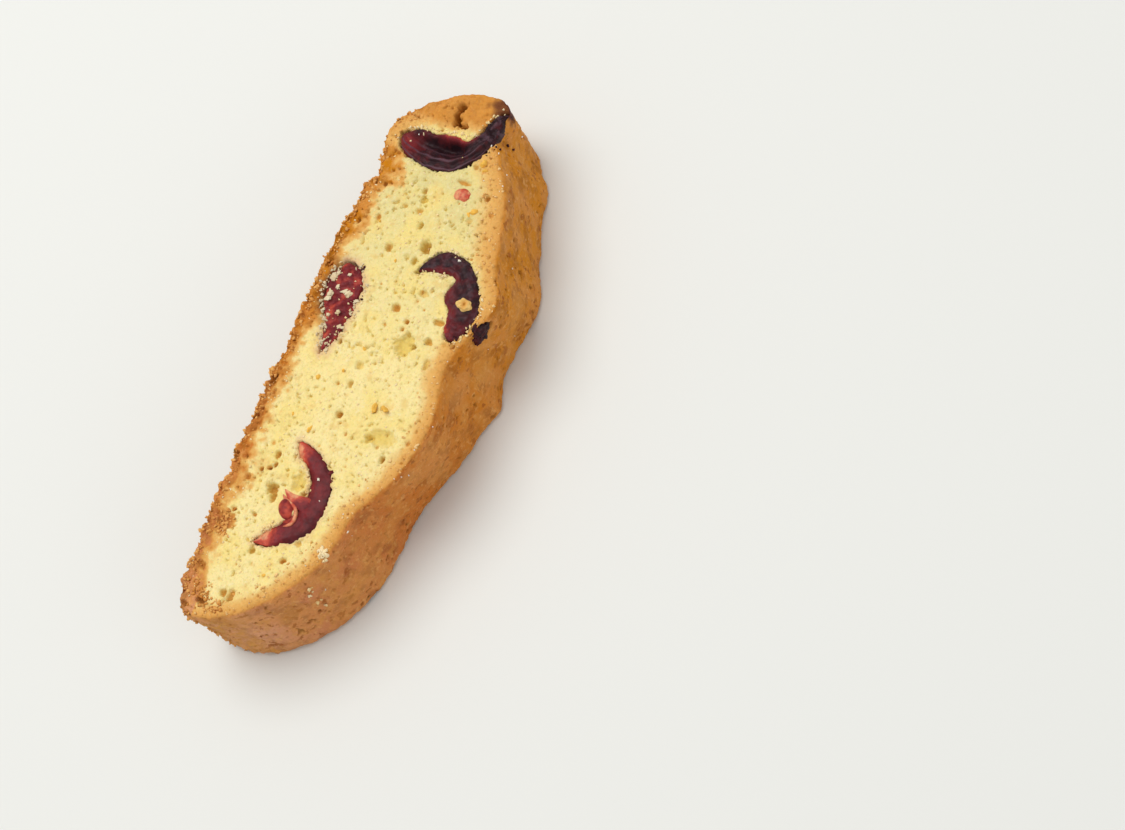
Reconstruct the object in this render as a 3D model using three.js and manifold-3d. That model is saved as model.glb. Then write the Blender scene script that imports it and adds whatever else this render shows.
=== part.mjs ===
// A biscotti: one slice of a twice-baked loaf with dried berries, lying on its lower cut face.
// Millimetres. +X runs along the slice, +Y faces the flat base of the loaf, -Y its domed crust
// and +Z the upper cut face. The origin is at the middle of the underside.
import * as THREE from 'three';
import { mergeVertices } from 'three/addons/utils/BufferGeometryUtils.js';
import Module from 'manifold-3d';

// Driving dimensions of the slice
const HALF_LENGTH = 50;
const THICKNESS = 18;
const POCKET_GAP = 0.3;
const CRUMB_RELIEF = 0.22;
const CRAG_DEPTH = 0.55;
const CRUST_RELIEF = 0.16;
const CUT_RELIEF_CELL = 3;

// Each cut face is an oval about a middle line that drifts sideways along x. The loaf base lies on
// one side of it and the domed crust on the other. Corners are squarer the higher their power.
// A swelling has its place along x, its reach outwards and the half width of its hump.
const UPPER_CUT = {
  middle: 4.7,
  drift: -0.12,
  base: { edge: 16.5, nearPower: 4.2, farPower: 2.7 },
  crust: { edge: -15.9, nearPower: 1.76, farPower: 1.86 },
  baseSwellings: [
    { at: 41.3, reach: 3.9, width: 5.7 },
    { at: 31.4, reach: -1.2, width: 1.6 },
    { at: -1.5, reach: -0.6, width: 4 },
    { at: -25.6, reach: -1.2, width: 1.3 },
    { at: -39, reach: -0.5, width: 3 },
  ],
  crustSwellings: [
    { at: 50.1, reach: 6.2, width: 3.7 },
    { at: 43.7, reach: -6.1, width: 6.9 },
    { at: 15.3, reach: 2.7, width: 4.9 },
    { at: 2.4, reach: -2.6, width: 6.4 },
    { at: -26, reach: -3.1, width: 6.5 },
  ],
};
const LOWER_CUT = {
  middle: 4.5,
  drift: -0.07,
  base: { edge: 16.6, nearPower: 4.5, farPower: 2.8 },
  crust: { edge: -15.9, nearPower: 2, farPower: 1.94 },
  baseSwellings: [
    { at: 41.3, reach: 2.6, width: 5.7 },
    { at: 12, reach: -0.7, width: 3 },
    { at: -21, reach: -0.8, width: 2 },
  ],
  crustSwellings: [
    { at: 42, reach: 1.9, width: 2.5 },
    { at: 22, reach: 2.4, width: 6.1 },
    { at: 2.8, reach: 1.2, width: 2.9 },
    { at: -18.6, reach: -3.2, width: 10.9 },
  ],
};

// The crease in the crust runs down from the nub at the far end of the upper cut.
const CREASE = {
  top: new THREE.Vector3(42.6, -5.2, THICKNESS),
  foot: new THREE.Vector3(49.6, 0.5, 0),
  depth: 0.9,
  width: 1.5,
};

// Hollows in the upper cut face, by their middle, full length, full width and depth.
const HOLLOWS = [
  { x: 21.4, y: -0.7, length: 2.4, width: 1.9, depth: 2.2 },
  { x: 4.6, y: -4.9, length: 3.6, width: 4, depth: 1.5 },
  { x: -11.7, y: -7.2, length: 4.6, width: 3.4, depth: 1.3 },
  { x: -26, y: 6.9, length: 3, width: 3.4, depth: 2 },
  { x: -33.8, y: 13, length: 5.4, width: 4.6, depth: 1.4 },
  { x: 44.4, y: 2.4, length: 2, width: 4, depth: 1.8 },
];

// Dried berries that the knife cut through. Stations run along each piece: x, y, half width, depth.
const CUT_BERRIES = [
  {
    name: 'berry_far_end',
    stations: [
      [39.1, 12.2, 1.1, 2.2],
      [37.4, 8.6, 3, 4.4],
      [37.9, 3.4, 3.5, 5.6],
      [39.6, -0.8, 2.6, 5],
      [43.6, -3, 1.2, 3.6],
      [48.6, -4, 0.6, 2.4],
    ],
  },
  {
    name: 'berry_middle',
    stations: [
      [17.4, -1.5, 0.4, 1.6],
      [19.7, -4.8, 2, 4],
      [19, -8.6, 2.2, 5.6],
      [16.2, -10.7, 3.1, 6],
      [12.2, -12.2, 2.2, 5],
      [8.3, -11.7, 1.5, 2.8],
    ],
  },
  {
    name: 'berry_near_end',
    stations: [
      [-34.8, 5.8, 0.5, 1.8],
      [-33.2, 1.9, 1.8, 4],
      [-28.6, -1, 2.1, 5.4],
      [-23.4, -1, 2, 5.4],
      [-19.4, 1.2, 1.6, 4],
      [-17, 5.6, 0.5, 1.6],
    ],
  },
  {
    name: 'berry_base_side',
    stations: [
      [-0.8, 9.2, 0.5, 1.6],
      [3.6, 9.2, 1.7, 3.4],
      [8.6, 10, 3.2, 5],
      [12.4, 10.9, 3.3, 5],
      [14, 11.8, 1.6, 3],
    ],
  },
];
const BERRY_FACE_SINK = 0.45;
const BERRY_CROWN = 0.5;
const BERRY_SECTION_POINTS = 12;
const BERRY_STEPS = 16;
const BERRY_WRINKLE = 0.12;

// The seed that the near end's berry still holds, on the hollow side of its curve.
const SEED = { x: -28.6, y: 1.9, z: 16.7, length: 2.2, width: 3, height: 3 };

// Small scraps of berry: one in the crumb and one that breaks out at the edge of the crust.
const SCRAPS = [
  { name: 'berry_scrap', x: 31.8, y: -3.1, z: 17, length: 2.5, width: 3.2, height: 2.6 },
  { name: 'berry_crust_side', x: 11, y: -16, z: 16.1, length: 3.2, width: 3, height: 3.6 },
];

// Resolution of the faceted surfaces
const OUTLINE_SAMPLES = 1500;
const HALF_RING_POINTS = 84;
const WALL_ROWS = 8;
const SPARE_HEIGHT = 1.5;
const LUMP_SIDES = 12;
const LUMP_RINGS = 8;

// Colours of the baked crumb and of the dried fruit
const CRUMB_COLOUR = '#ecd79a';
const BERRY_COLOUR = '#5a1f26';

const wasm = await Module();
wasm.setup();

function solidFrom(geometry) {
  const bare = geometry.clone();
  bare.deleteAttribute('normal');
  bare.deleteAttribute('uv');
  const merged = mergeVertices(bare, 1e-5);
  const vertProperties = new Float32Array(merged.attributes.position.array);
  const triVerts = new Uint32Array(merged.index.array);
  return new wasm.Manifold(new wasm.Mesh({ numProp: 3, vertProperties, triVerts }));
}

function geometryFrom(solid) {
  const mesh = solid.getMesh();
  const geometry = new THREE.BufferGeometry();
  geometry.setAttribute('position', new THREE.BufferAttribute(new Float32Array(mesh.vertProperties), 3));
  geometry.setIndex(new THREE.BufferAttribute(new Uint32Array(mesh.triVerts), 1));
  return geometry;
}

// A smooth uneven value between about -1 and 1, for surfaces with no regular pattern.
function unevenness(a, b, c) {
  const broad = Math.sin(a + 1.7 * b + 0.4) * Math.cos(1.3 * b - 0.8 * c + 1.1);
  const middling = Math.sin(2.3 * a - 1.1 * c + 2) * Math.cos(2.9 * c + 1.9 * b);
  const fine = Math.sin(4.1 * a + 3.7 * c) * Math.cos(3.3 * b - 2.2 * a + 0.7);
  return 0.5 * broad + 0.3 * middling + 0.2 * fine;
}

function hump(distance, width) {
  return Math.exp(-((distance / width) ** 2));
}

// A point of a cut face's outline. Side is 1 on the base and -1 on the crust.
function outlinePoint(cut, side, turn) {
  const along = Math.cos(turn);
  const flank = side > 0 ? cut.base : cut.crust;
  const power = along > 0 ? flank.farPower : flank.nearPower;
  const x = HALF_LENGTH * Math.sign(along) * Math.abs(along) ** (2 / power);
  const fullness = Math.abs(Math.sin(turn)) ** (2 / power);
  const middle = cut.middle + cut.drift * x;
  const swellings = side > 0 ? cut.baseSwellings : cut.crustSwellings;
  const swell = swellings.reduce((sum, s) => sum + s.reach * hump(x - s.at, s.width), 0);
  return new THREE.Vector2(x, middle + (flank.edge - middle + side * swell) * fullness);
}

// Evenly spaced points round a cut face, anticlockwise from the far end.
function outlineRing(cut) {
  const halves = [1, -1].map((side) => {
    const samples = [];
    for (let step = 0; step <= OUTLINE_SAMPLES; step++) {
      const turn = (Math.PI * step) / OUTLINE_SAMPLES;
      samples.push(outlinePoint(cut, side, side > 0 ? turn : Math.PI - turn));
    }
    return new THREE.Path(samples).getSpacedPoints(HALF_RING_POINTS).slice(0, HALF_RING_POINTS);
  });
  return halves.flat();
}

// How far the wall stands in or out of its smooth form: crags on the base, soft dimples on the crust.
function wallRelief(point, onBase) {
  if (onBase) {
    return CRAG_DEPTH * unevenness(0.53 * point.x, 0.41 * point.z, 0.9 * point.z - 0.31 * point.x);
  }
  const dimples = CRUST_RELIEF * unevenness(0.45 * point.x, 0.5 * point.z, 0.3 * point.x);
  const line = new THREE.Line3(CREASE.top, CREASE.foot);
  const nearest = line.closestPointToPoint(point, true, new THREE.Vector3());
  return dimples - CREASE.depth * hump(nearest.distanceTo(point), CREASE.width);
}

function wallRing(upper, lower, height) {
  const share = Math.min(height / THICKNESS, 1);
  const ring = upper.map((point, i) => lower[i].clone().lerp(point, share));
  return ring.map((point, i) => {
    const before = ring[(i + ring.length - 1) % ring.length];
    const after = ring[(i + 1) % ring.length];
    const outward = new THREE.Vector3(after.y - before.y, before.x - after.x, 0).normalize();
    const placed = new THREE.Vector3(point.x, point.y, Math.min(height, THICKNESS));
    placed.addScaledVector(outward, wallRelief(placed, i < HALF_RING_POINTS));
    return placed.setZ(height);
  });
}

// A closed body through rings of equally many points, each ring anticlockwise seen from the last.
function bodyThroughRings(rings, capTriangles) {
  const count = rings[0].length;
  const index = [];
  for (let row = 0; row + 1 < rings.length; row++) {
    for (let i = 0; i < count; i++) {
      const next = (i + 1) % count;
      const [a, b] = [row * count + i, row * count + next];
      const [c, d] = [a + count, b + count];
      index.push(a, b, d, a, d, c);
    }
  }
  const last = (rings.length - 1) * count;
  for (const [a, b, c] of capTriangles) {
    index.push(a, c, b, last + a, last + b, last + c);
  }
  const geometry = new THREE.BufferGeometry().setFromPoints(rings.flat());
  return geometry.setIndex(index);
}

// The block whose uneven top is the knife's cut through the crumb.
function crumbBlock() {
  const length = 2 * HALF_LENGTH + 20;
  const width = HALF_LENGTH;
  const height = 2 * THICKNESS;
  const across = Math.round(length / CUT_RELIEF_CELL);
  const deep = Math.round(width / CUT_RELIEF_CELL);
  const block = new THREE.BoxGeometry(length, width, height, across, deep, 1);
  const position = block.attributes.position;
  for (let i = 0; i < position.count; i++) {
    const x = position.getX(i);
    const y = position.getY(i);
    const onTop = position.getZ(i) > 0;
    const relief = CRUMB_RELIEF * unevenness(0.55 * x, 0.6 * y, 0.4 * (x - y));
    position.setZ(i, onTop ? THICKNESS + relief : -height);
  }
  return solidFrom(block);
}

// An egg-shaped lump, given by its full sizes.
function lump(piece, grow = 0) {
  const geometry = new THREE.SphereGeometry(0.5, LUMP_SIDES, LUMP_RINGS);
  geometry.scale(piece.length + 2 * grow, piece.width + 2 * grow, piece.height + 2 * grow);
  geometry.translate(piece.x, piece.y, piece.z);
  return solidFrom(geometry);
}

// A berry's body along its stations. Grown by the gap and opened upwards it is the berry's pocket.
function berryBody(berry, grow, crown) {
  const path = new THREE.CatmullRomCurve3(berry.stations.map(([x, y]) => new THREE.Vector3(x, y, 0)));
  const sizes = new THREE.CatmullRomCurve3(
    berry.stations.map(([, , half, depth]) => new THREE.Vector3(half, depth, 0)),
  );
  const rings = [];
  for (let step = 0; step <= BERRY_STEPS; step++) {
    const share = step / BERRY_STEPS;
    const middle = path.getPoint(share);
    const along = path.getTangent(share);
    const aside = new THREE.Vector3(-along.y, along.x, 0);
    const size = sizes.getPoint(share);
    middle.addScaledVector(along, grow * (2 * share - 1));
    const ring = [];
    for (let i = 0; i < BERRY_SECTION_POINTS; i++) {
      const turn = (2 * Math.PI * i) / BERRY_SECTION_POINTS;
      const wrinkle = BERRY_WRINKLE * size.x * Math.sin(7 * turn + 9 * share);
      const upright = Math.sin(turn);
      const rise = upright > 0 ? crown : size.y - BERRY_FACE_SINK + grow;
      const point = middle.clone().addScaledVector(aside, (size.x + grow + wrinkle) * Math.cos(turn));
      ring.push(point.setZ(THICKNESS - BERRY_FACE_SINK + rise * upright));
    }
    rings.push(ring);
  }
  const fan = [];
  for (let i = 1; i + 1 < BERRY_SECTION_POINTS; i++) {
    fan.push([0, i, i + 1]);
  }
  return solidFrom(bodyThroughRings(rings, fan));
}

function sliceBody() {
  const upper = outlineRing(UPPER_CUT);
  const lower = outlineRing(LOWER_CUT);
  const rings = [];
  for (let row = 0; row <= WALL_ROWS; row++) {
    rings.push(wallRing(upper, lower, (THICKNESS * row) / WALL_ROWS));
  }
  rings.push(wallRing(upper, lower, THICKNESS + SPARE_HEIGHT));
  const footprint = rings[0].map((point) => new THREE.Vector2(point.x, point.y));
  const cap = THREE.ShapeUtils.triangulateShape(footprint, []);
  return solidFrom(bodyThroughRings(rings, cap)).intersect(crumbBlock());
}

function withHollows(slice) {
  return HOLLOWS.reduce((body, { depth, ...hollow }) => {
    return body.subtract(lump({ ...hollow, z: THICKNESS, height: 2 * depth }));
  }, slice);
}

function withPockets(slice) {
  const pockets = CUT_BERRIES.map((berry) => berryBody(berry, POCKET_GAP, 2 * SPARE_HEIGHT));
  const nests = SCRAPS.map((scrap) => lump(scrap, POCKET_GAP));
  const seedNest = lump(SEED, POCKET_GAP);
  return [...pockets, ...nests, seedNest].reduce((body, pocket) => body.subtract(pocket), slice);
}

function berrySolid(berry) {
  const body = berryBody(berry, 0, BERRY_CROWN);
  if (berry.name !== 'berry_near_end') {
    return body;
  }
  return body.add(lump(SEED));
}

function namedMesh(name, solid, colour, roughness) {
  const material = new THREE.MeshStandardMaterial({ color: colour, roughness, metalness: 0 });
  const mesh = new THREE.Mesh(geometryFrom(solid), material);
  mesh.name = name;
  return mesh;
}

const biscotti = new THREE.Group();
biscotti.add(namedMesh('slice', withPockets(withHollows(sliceBody())), CRUMB_COLOUR, 0.9));
for (const berry of CUT_BERRIES) {
  biscotti.add(namedMesh(berry.name, berrySolid(berry), BERRY_COLOUR, 0.35));
}
for (const scrap of SCRAPS) {
  biscotti.add(namedMesh(scrap.name, lump(scrap), BERRY_COLOUR, 0.4));
}

// The origin moves to the middle of the underside.
const extent = new THREE.Box3().setFromObject(biscotti);
const centre = extent.getCenter(new THREE.Vector3());
biscotti.position.set(-centre.x, -centre.y, -extent.min.z);

export default biscotti;
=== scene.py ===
import math
import random

import bmesh
import bpy
import numpy as np
from mathutils import Euler, Matrix, Vector, noise
from mathutils.bvhtree import BVHTree
from mathutils.kdtree import KDTree


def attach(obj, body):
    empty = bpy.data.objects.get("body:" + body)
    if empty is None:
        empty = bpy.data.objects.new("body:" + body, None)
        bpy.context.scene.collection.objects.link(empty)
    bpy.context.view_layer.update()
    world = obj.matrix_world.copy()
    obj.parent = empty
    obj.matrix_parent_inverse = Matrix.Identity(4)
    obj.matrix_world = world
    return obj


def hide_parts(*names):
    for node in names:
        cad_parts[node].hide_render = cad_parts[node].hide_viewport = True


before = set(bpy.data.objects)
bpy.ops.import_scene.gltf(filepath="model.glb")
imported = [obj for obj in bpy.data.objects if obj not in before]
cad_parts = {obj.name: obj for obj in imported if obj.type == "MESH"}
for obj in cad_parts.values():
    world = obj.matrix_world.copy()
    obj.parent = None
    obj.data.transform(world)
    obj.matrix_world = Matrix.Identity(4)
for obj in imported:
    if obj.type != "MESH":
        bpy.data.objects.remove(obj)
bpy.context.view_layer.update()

bl_info = {
    "name": "Biscotti with dried berries",
    "version": (1, 0, 0),
    "blender": (4, 5, 0),
    "location": "View3D > Sidebar > Biscotti",
    "description": "Builds one slice of biscotti with its crumb, crust, berries, zest and loose grains",
    "category": "Add Mesh",
}

# Shapes are modelled in millimetres and brought to metres when a piece is finished.
MILLIMETRE = 0.001
HALF_LENGTH = 50.0
THICKNESS = 18.0
ORIGIN_SHIFT = Vector((-0.01, 0.281, 0.0))

# Each cut face is an oval about a middle line that drifts sideways along x, with the flat loaf base
# on one side (1) and the domed crust on the other (-1). A swelling is (place along x, reach, half width).
UPPER_CUT = {
    "middle": 4.7,
    "drift": -0.12,
    1: {
        "edge": 16.5, "near_power": 4.2, "far_power": 2.7,
        "swellings": [
            (41.3, 3.9, 5.7), (31.4, -1.2, 1.6), (-1.5, -0.6, 4), (-25.6, -1.2, 1.3), (-39, -0.5, 3)],
    },
    -1: {
        "edge": -15.9, "near_power": 1.76, "far_power": 1.86,
        "swellings": [
            (50.1, 6.2, 3.7), (43.7, -6.1, 6.9), (15.3, 2.7, 4.9), (2.4, -2.6, 6.4), (-26, -3.1, 6.5)],
    },
}
LOWER_CUT = {
    "middle": 4.5,
    "drift": -0.07,
    1: {
        "edge": 16.6, "near_power": 4.5, "far_power": 2.8,
        "swellings": [(41.3, 2.6, 5.7), (12, -0.7, 3), (-21, -0.8, 2)],
    },
    -1: {
        "edge": -15.9, "near_power": 2.0, "far_power": 1.94,
        "swellings": [(42, 1.9, 2.5), (22, 2.4, 6.1), (2.8, 1.2, 2.9), (-18.6, -3.2, 10.9)],
    },
}
CREASE_TOP = Vector((42.6, -5.2, THICKNESS))
CREASE_FOOT = Vector((49.6, 0.5, 0.0))
CREASE_DEPTH = 0.9
CREASE_WIDTH = 1.5
OUTLINE_SAMPLES = 3000
HALF_RING_POINTS = 240
WALL_ROWS = 40
BASE_ROUND = 0.35
CRUST_ROUND = 1.0

# Hollows in the upper cut face: x, y, half length, half width, depth, how far they are browned. Browning also
# makes the painted shade in them darker and browner.
HOLLOWS = [
    (21.4, -0.7, 1.2, 0.95, 2.2, 0.25),
    (4.2, -4.5, 2.1, 1.9, 1.2, 0.0),
    (4.6, -6.0, 0.5, 0.45, 1.6, 0.3),
    (-11.7, -7.8, 1.6, 2.8, 0.9, 0.0),
    (-12.6, -5.7, 0.9, 0.7, 1.0, 0.05),
    (-25.6, 6.9, 1.0, 1.1, 2.0, 0.35),
    (-26.9, 6.2, 1.0, 0.7, 1.2, 0.3),
    (-21.7, 8.2, 0.55, 0.45, 1.2, 0.8),
    (-22.5, 9.0, 0.4, 0.7, 1.1, 0.8),
    (-23.1, 10.4, 0.45, 0.4, 1.0, 0.75),
    (-25.0, 12.2, 0.6, 0.5, 0.9, 0.7),
    (-30.6, 8.0, 0.4, 0.5, 0.8, 0.5),
    (-22.6, 10.6, 2.6, 1.9, 0.2, 0.2),
    (-34.6, 5.6, 0.4, 0.35, 0.8, 0.35),
    (-33.5, 12.5, 2.3, 2.1, 0.5, 0.95),
    (-23.3, 2.9, 1.7, 1.1, 0.8, 0.0),
    (46.6, 4.1, 0.9, 0.7, 2.6, 1.0),
    (45.1, 4.4, 0.9, 0.55, 2.4, 1.0),
    (44.0, 4.0, 0.9, 0.65, 2.6, 1.0),
    (43.6, 2.6, 0.5, 1.3, 2.4, 1.0),
    (9.7, -8.7, 0.6, 1.3, 1.2, 0.35),
    (13.6, -3.8, 0.7, 0.8, 0.8, 0.15),
    (-20.0, 8.6, 0.9, 0.6, 1.0, 0.35),
    (34.0, -2.2, 0.45, 1.3, 0.8, 0.45),
    (27.3, 6.3, 0.5, 0.5, 0.8, 0.2),
    (30.8, 4.0, 0.6, 0.5, 1.0, 0.3),
    (2.3, -9.8, 1.2, 0.6, 0.9, 0.15),
    (-44.5, 5.8, 1.1, 0.7, 0.9, 0.4),
    (-47.0, 10.5, 0.8, 0.9, 1.0, 0.95),
    (-41.5, 13.2, 0.9, 0.8, 0.8, 0.8),
    (14.2, 15.0, 1.0, 0.7, 0.9, 0.8),
    (-8.0, 15.4, 1.0, 0.8, 0.9, 0.8),
]

# Beyond this x the domed crust closes over the crumb at the far end.
CRACK_START = 42.0
# The cavity in the crust round the berry at its edge, and the berry stain at the slice's tip.
CRUST_CAVITY = (10.9, -15.9, 16.2)
NUB_STAIN = (48.6, -3.8, 17.3)
# Cut berries. Stations run along each piece: x, y, half width to the left, half width to the right, depth.
BERRY_STATIONS = {
    "berry_far_end": [
        (39.4, 12.4, 0.5, 0.5, 1.6), (38.8, 10.8, 2.1, 2.4, 3.4), (38.2, 8.0, 3.0, 3.0, 4.6),
        (37.9, 5.0, 3.3, 3.3, 5.6), (38.4, 2.3, 3.3, 3.4, 5.6), (39.3, -0.4, 2.3, 2.7, 5.0),
        (41.6, -2.3, 1.7, 1.8, 4.0), (44.1, -3.1, 1.4, 1.5, 3.4), (46.2, -3.8, 1.1, 1.1, 2.8),
        (47.9, -4.4, 0.6, 0.6, 2.0),
    ],
    "berry_middle": [
        (17.0, -1.2, 0.2, 0.2, 0.8), (18.4, -2.9, 1.2, 1.0, 2.6), (19.5, -4.9, 2.1, 2.0, 4.2),
        (19.5, -7.2, 2.1, 1.7, 5.2), (18.4, -9.4, 2.1, 1.5, 5.8), (16.1, -10.9, 2.4, 3.8, 6.0),
        (13.3, -12.0, 2.7, 3.2, 5.6), (10.5, -12.3, 2.1, 2.4, 4.4), (8.4, -11.8, 1.6, 1.8, 2.8),
        (7.2, -11.5, 0.6, 0.7, 1.4),
    ],
    "berry_near_end": [
        (-35.0, 6.3, 0.2, 0.2, 0.8), (-33.9, 4.2, 1.5, 1.2, 2.8), (-32.3, 1.9, 2.0, 1.8, 4.0),
        (-30.0, -0.4, 2.1, 2.2, 5.2), (-27.0, -1.5, 2.5, 2.3, 5.4), (-24.0, -1.6, 2.1, 1.9, 5.4),
        (-21.3, -0.4, 1.9, 1.9, 4.8), (-19.3, 1.7, 1.6, 1.6, 4.0), (-18.0, 4.0, 1.5, 1.3, 3.0),
        (-16.7, 6.0, 0.9, 0.8, 1.6),
    ],
    "berry_base_side": [
        (-1.1, 9.4, 0.3, 0.3, 1.0), (1.6, 9.2, 1.2, 1.3, 2.4), (4.8, 9.5, 2.0, 2.2, 3.6),
        (8.0, 10.1, 3.0, 3.2, 4.8), (11.0, 10.6, 3.3, 3.5, 5.0), (13.3, 11.2, 2.4, 2.6, 4.2),
        (14.9, 11.8, 0.7, 0.7, 1.8),
    ],
}
DRIED_BERRIES = [name + "_dried" for name in BERRY_STATIONS]
POCKET_DEPTH = 3.6
# Berries that stain the crumb round them, and how much less far than the first.
STAIN_GAPS = {"berry_base_side": 0.0, "berry_near_end": 0.6}
BERRY_FACE_SINK = 0.5
# How far past its end stations a berry still counts as near.
END_REACH = 0.6
BERRY_CROWN = {
    "berry_far_end": 0.95, "berry_middle": 1.05, "berry_near_end": 0.6, "berry_base_side": 0.55}
BERRY_END_DIP = {"berry_far_end": 0.7}
BERRY_MATERIAL = "berry_skin_and_flesh"
BAKED_MATERIAL = "baked_crumb_and_crust"
BERRY_ROWS = 190
BERRY_COLUMNS = 110

# The near berry holds a seed, with a thin wall of flesh round it. Stations: x, y, half width, height.
SEED = (-28.1, 2.9, 17.8)
SEED_SIZES = (3.8, 2.7, 2.2)
SEED_TURN = 0.7
SEED_BED = (-28.3, 2.5, 17.4)
SEED_BED_SIZES = (4.9, 3.6, 1.5)
SEED_WALL = [
    (-25.9, 4.7, 0.12, 17.85), (-26.4, 3.9, 0.28, 18.05), (-26.9, 2.75, 0.3, 18.15),
    (-27.5, 1.35, 0.3, 18.15), (-28.9, 0.7, 0.3, 18.15), (-30.2, 1.0, 0.3, 18.1), (-31.0, 2.2, 0.2, 17.9),
]
SEED_SPUR = [
    (-24.9, 4.9, 0.15, 17.75), (-25.5, 3.8, 0.45, 17.9), (-26.0, 2.7, 0.75, 18.0), (-26.3, 1.2, 1.1, 18.05),
    (-26.4, -0.2, 1.3, 18.0), (-26.4, -1.2, 0.9, 17.7),
]

# Pale chunks of crumb on the berry beside the loaf base: x, y, length.
BERRY_CHUNKS = [
    (11.8, 12.8, 1.3), (10.3, 11.4, 0.8), (8.8, 12.1, 1.1), (7.8, 12.3, 0.9), (9.7, 9.0, 1.3),
    (9.9, 9.9, 0.9), (6.1, 9.4, 0.9), (12.9, 10.3, 0.7), (5.2, 10.9, 0.7), (8.9, 7.0, 0.8),
    (12.6, 12.3, 0.7), (3.9, 8.2, 0.8),
]
# Flecks of zest: x, y, length.
ZEST_FLECKS = [
    (37.9, -4.3, 1.5), (36.9, -5.0, 0.9), (29.5, -6.3, 1.4), (28.8, -5.7, 0.7), (-14.2, 5.1, 1.2),
    (-7.0, -6.2, 1.8), (-7.4, -4.4, 1.7), (-3.0, 4.0, 0.9), (-5.5, 7.6, 0.8), (23.4, 9.5, 0.7),
    (1.5, 2.0, 0.8), (-39.5, 1.5, 0.7), (-12.6, 9.2, 0.7), (17.6, 3.5, 0.6),
]
# Places near which bits of dark skin lie: x, y.
SKIN_BITS = [
    (-20.5, -2.3), (-21.7, -2.8), (43.2, -5.2), (41.6, -4.6), (39.6, -4.2), (47.6, -5.6), (9.4, -17.0),
    (12.2, -17.3), (8.3, -12.9), (14.2, 8.4), (9.9, 6.4),
]
# The cluster of loose crumbs on the crust's rim: x, y.
CRUMB_CLUSTER = [(-33.0, -6.8), (-32.3, -6.2), (-33.7, -7.0), (-33.0, -6.8), (-38.9, -5.4)]
CHIP_PLACE = (13.6, -12.2)
CHIP_SIZES = (2.0, 2.6, 1.3)
# Patches of toasted crumbs on the upper cut face beside the loaf base: x, y.
TOASTED_PATCHES = [(-33.5, 12.5), (-34.3, 11.9), (-32.7, 13.1), (-46.5, 9.5), (-45.5, 11.5), (-47.5, 7.5)]
# Single white grains on the berries, set where their skins show highlights: painted highlights in the form of
# sugar grains. x, y, size.
BERRY_HIGHLIGHT_GRAINS = [(20.6, -7.8, 0.5), (-21.7, -0.5, 0.5), (40.0, 9.6, 0.3), (-25.0, -2.2, 0.25)]
# The scrap in the crumb and the berry at the edge of the crust: middle, sizes, flesh, raggedness.
SCRAPS = {
    "berry_scrap": ((31.8, -3.0, 17.7), (2.6, 3.3, 1.7), 0.93, 0.1),
    "berry_crust_side": ((10.9, -15.3, 16.2), (4.0, 2.7, 3.4), 0.08, 0.4),
}
# Where each kind of random draw starts, so that every run gives the same result.
SEEDS = {"dents": 11, "pale": 23, "toasted": 31, "rim": 37, "sugar": 47, "zest": 59, "skin": 67}

# Colours of crumb and crust besides those in the settings.
# Painted shade: the crumb is painted darker toward the far end.
FAR_CRUMB_SHADE = (0.76, 0.66, 0.30)
TAN_GRAIN = (0.78, 0.52, 0.17)
STAINED_CRUMB = (0.70, 0.38, 0.26)
TIP_CRUST = (0.78, 0.38, 0.20)
NEAR_CRUST = (0.63, 0.235, 0.092)
RUDDY_CRUST = (0.68, 0.285, 0.075)
DULLING = (0.65, 0.60, 0.56)
DARK_SPECK = (0.34, 0.09, 0.010)
LIGHT_SPECK = (0.82, 0.44, 0.145)
FAINT_TOAST = (0.86, 0.66, 0.28)
GOLDEN_TOAST = (0.80, 0.47, 0.145)
# Painted shade in hollows, pores and crevices: on pale crumb and on toast.
CRUMB_HOLLOW_SHADE = (0.74, 0.53, 0.11)
TOAST_HOLLOW_SHADE = (0.58, 0.27, 0.045)
BERRY_SMEAR = (0.10, 0.022, 0.018)
# Light and dark colours of the loose grains.
PALE_CRUMB = ((0.92, 0.76, 0.47), (0.88, 0.65, 0.29))
BEIGE_CRUMB = ((0.78, 0.68, 0.46), (0.66, 0.50, 0.30))
TOASTED_CRUMB = ((0.82, 0.44, 0.13), (0.60, 0.24, 0.045))
LIGHTLY_TOASTED_CRUMB = ((0.90, 0.62, 0.28), (0.74, 0.38, 0.10))
DULL_SUGAR = (0.90, 0.82, 0.66)

# The photograph's frame, where the middle of the slice is seen in it, and how large.
FRAME_WIDTH_PX = 1125
FRAME_HEIGHT_PX = 830
AIM_COLUMN_PX = 363
AIM_ROW_PX = 378
PIXELS_PER_MILLIMETRE = 6.05
AIM_POINT = Vector((-3.204, 0.205, THICKNESS))
FLOOR_HALF_WIDTH = 6.0
FLOOR_DROP = 0.00005
LIGHT_DISTANCE = 0.9


def length_setting(name, description, default, low=0.0):
    return bpy.props.FloatProperty(
        name=name, description=description, default=default, min=low, unit="LENGTH", precision=5)


def count_setting(name, description, default):
    return bpy.props.IntProperty(name=name, description=description, default=default, min=0)


def strength_setting(name, description, default):
    return bpy.props.FloatProperty(name=name, description=description, default=default, min=0)


def angle_setting(name, description, degrees):
    return bpy.props.FloatProperty(
        name=name, description=description, default=math.radians(degrees), subtype="ANGLE")


def colour_setting(name, description, default):
    return bpy.props.FloatVectorProperty(
        name=name, description=description, default=default, subtype="COLOR", min=0, max=1)


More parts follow.
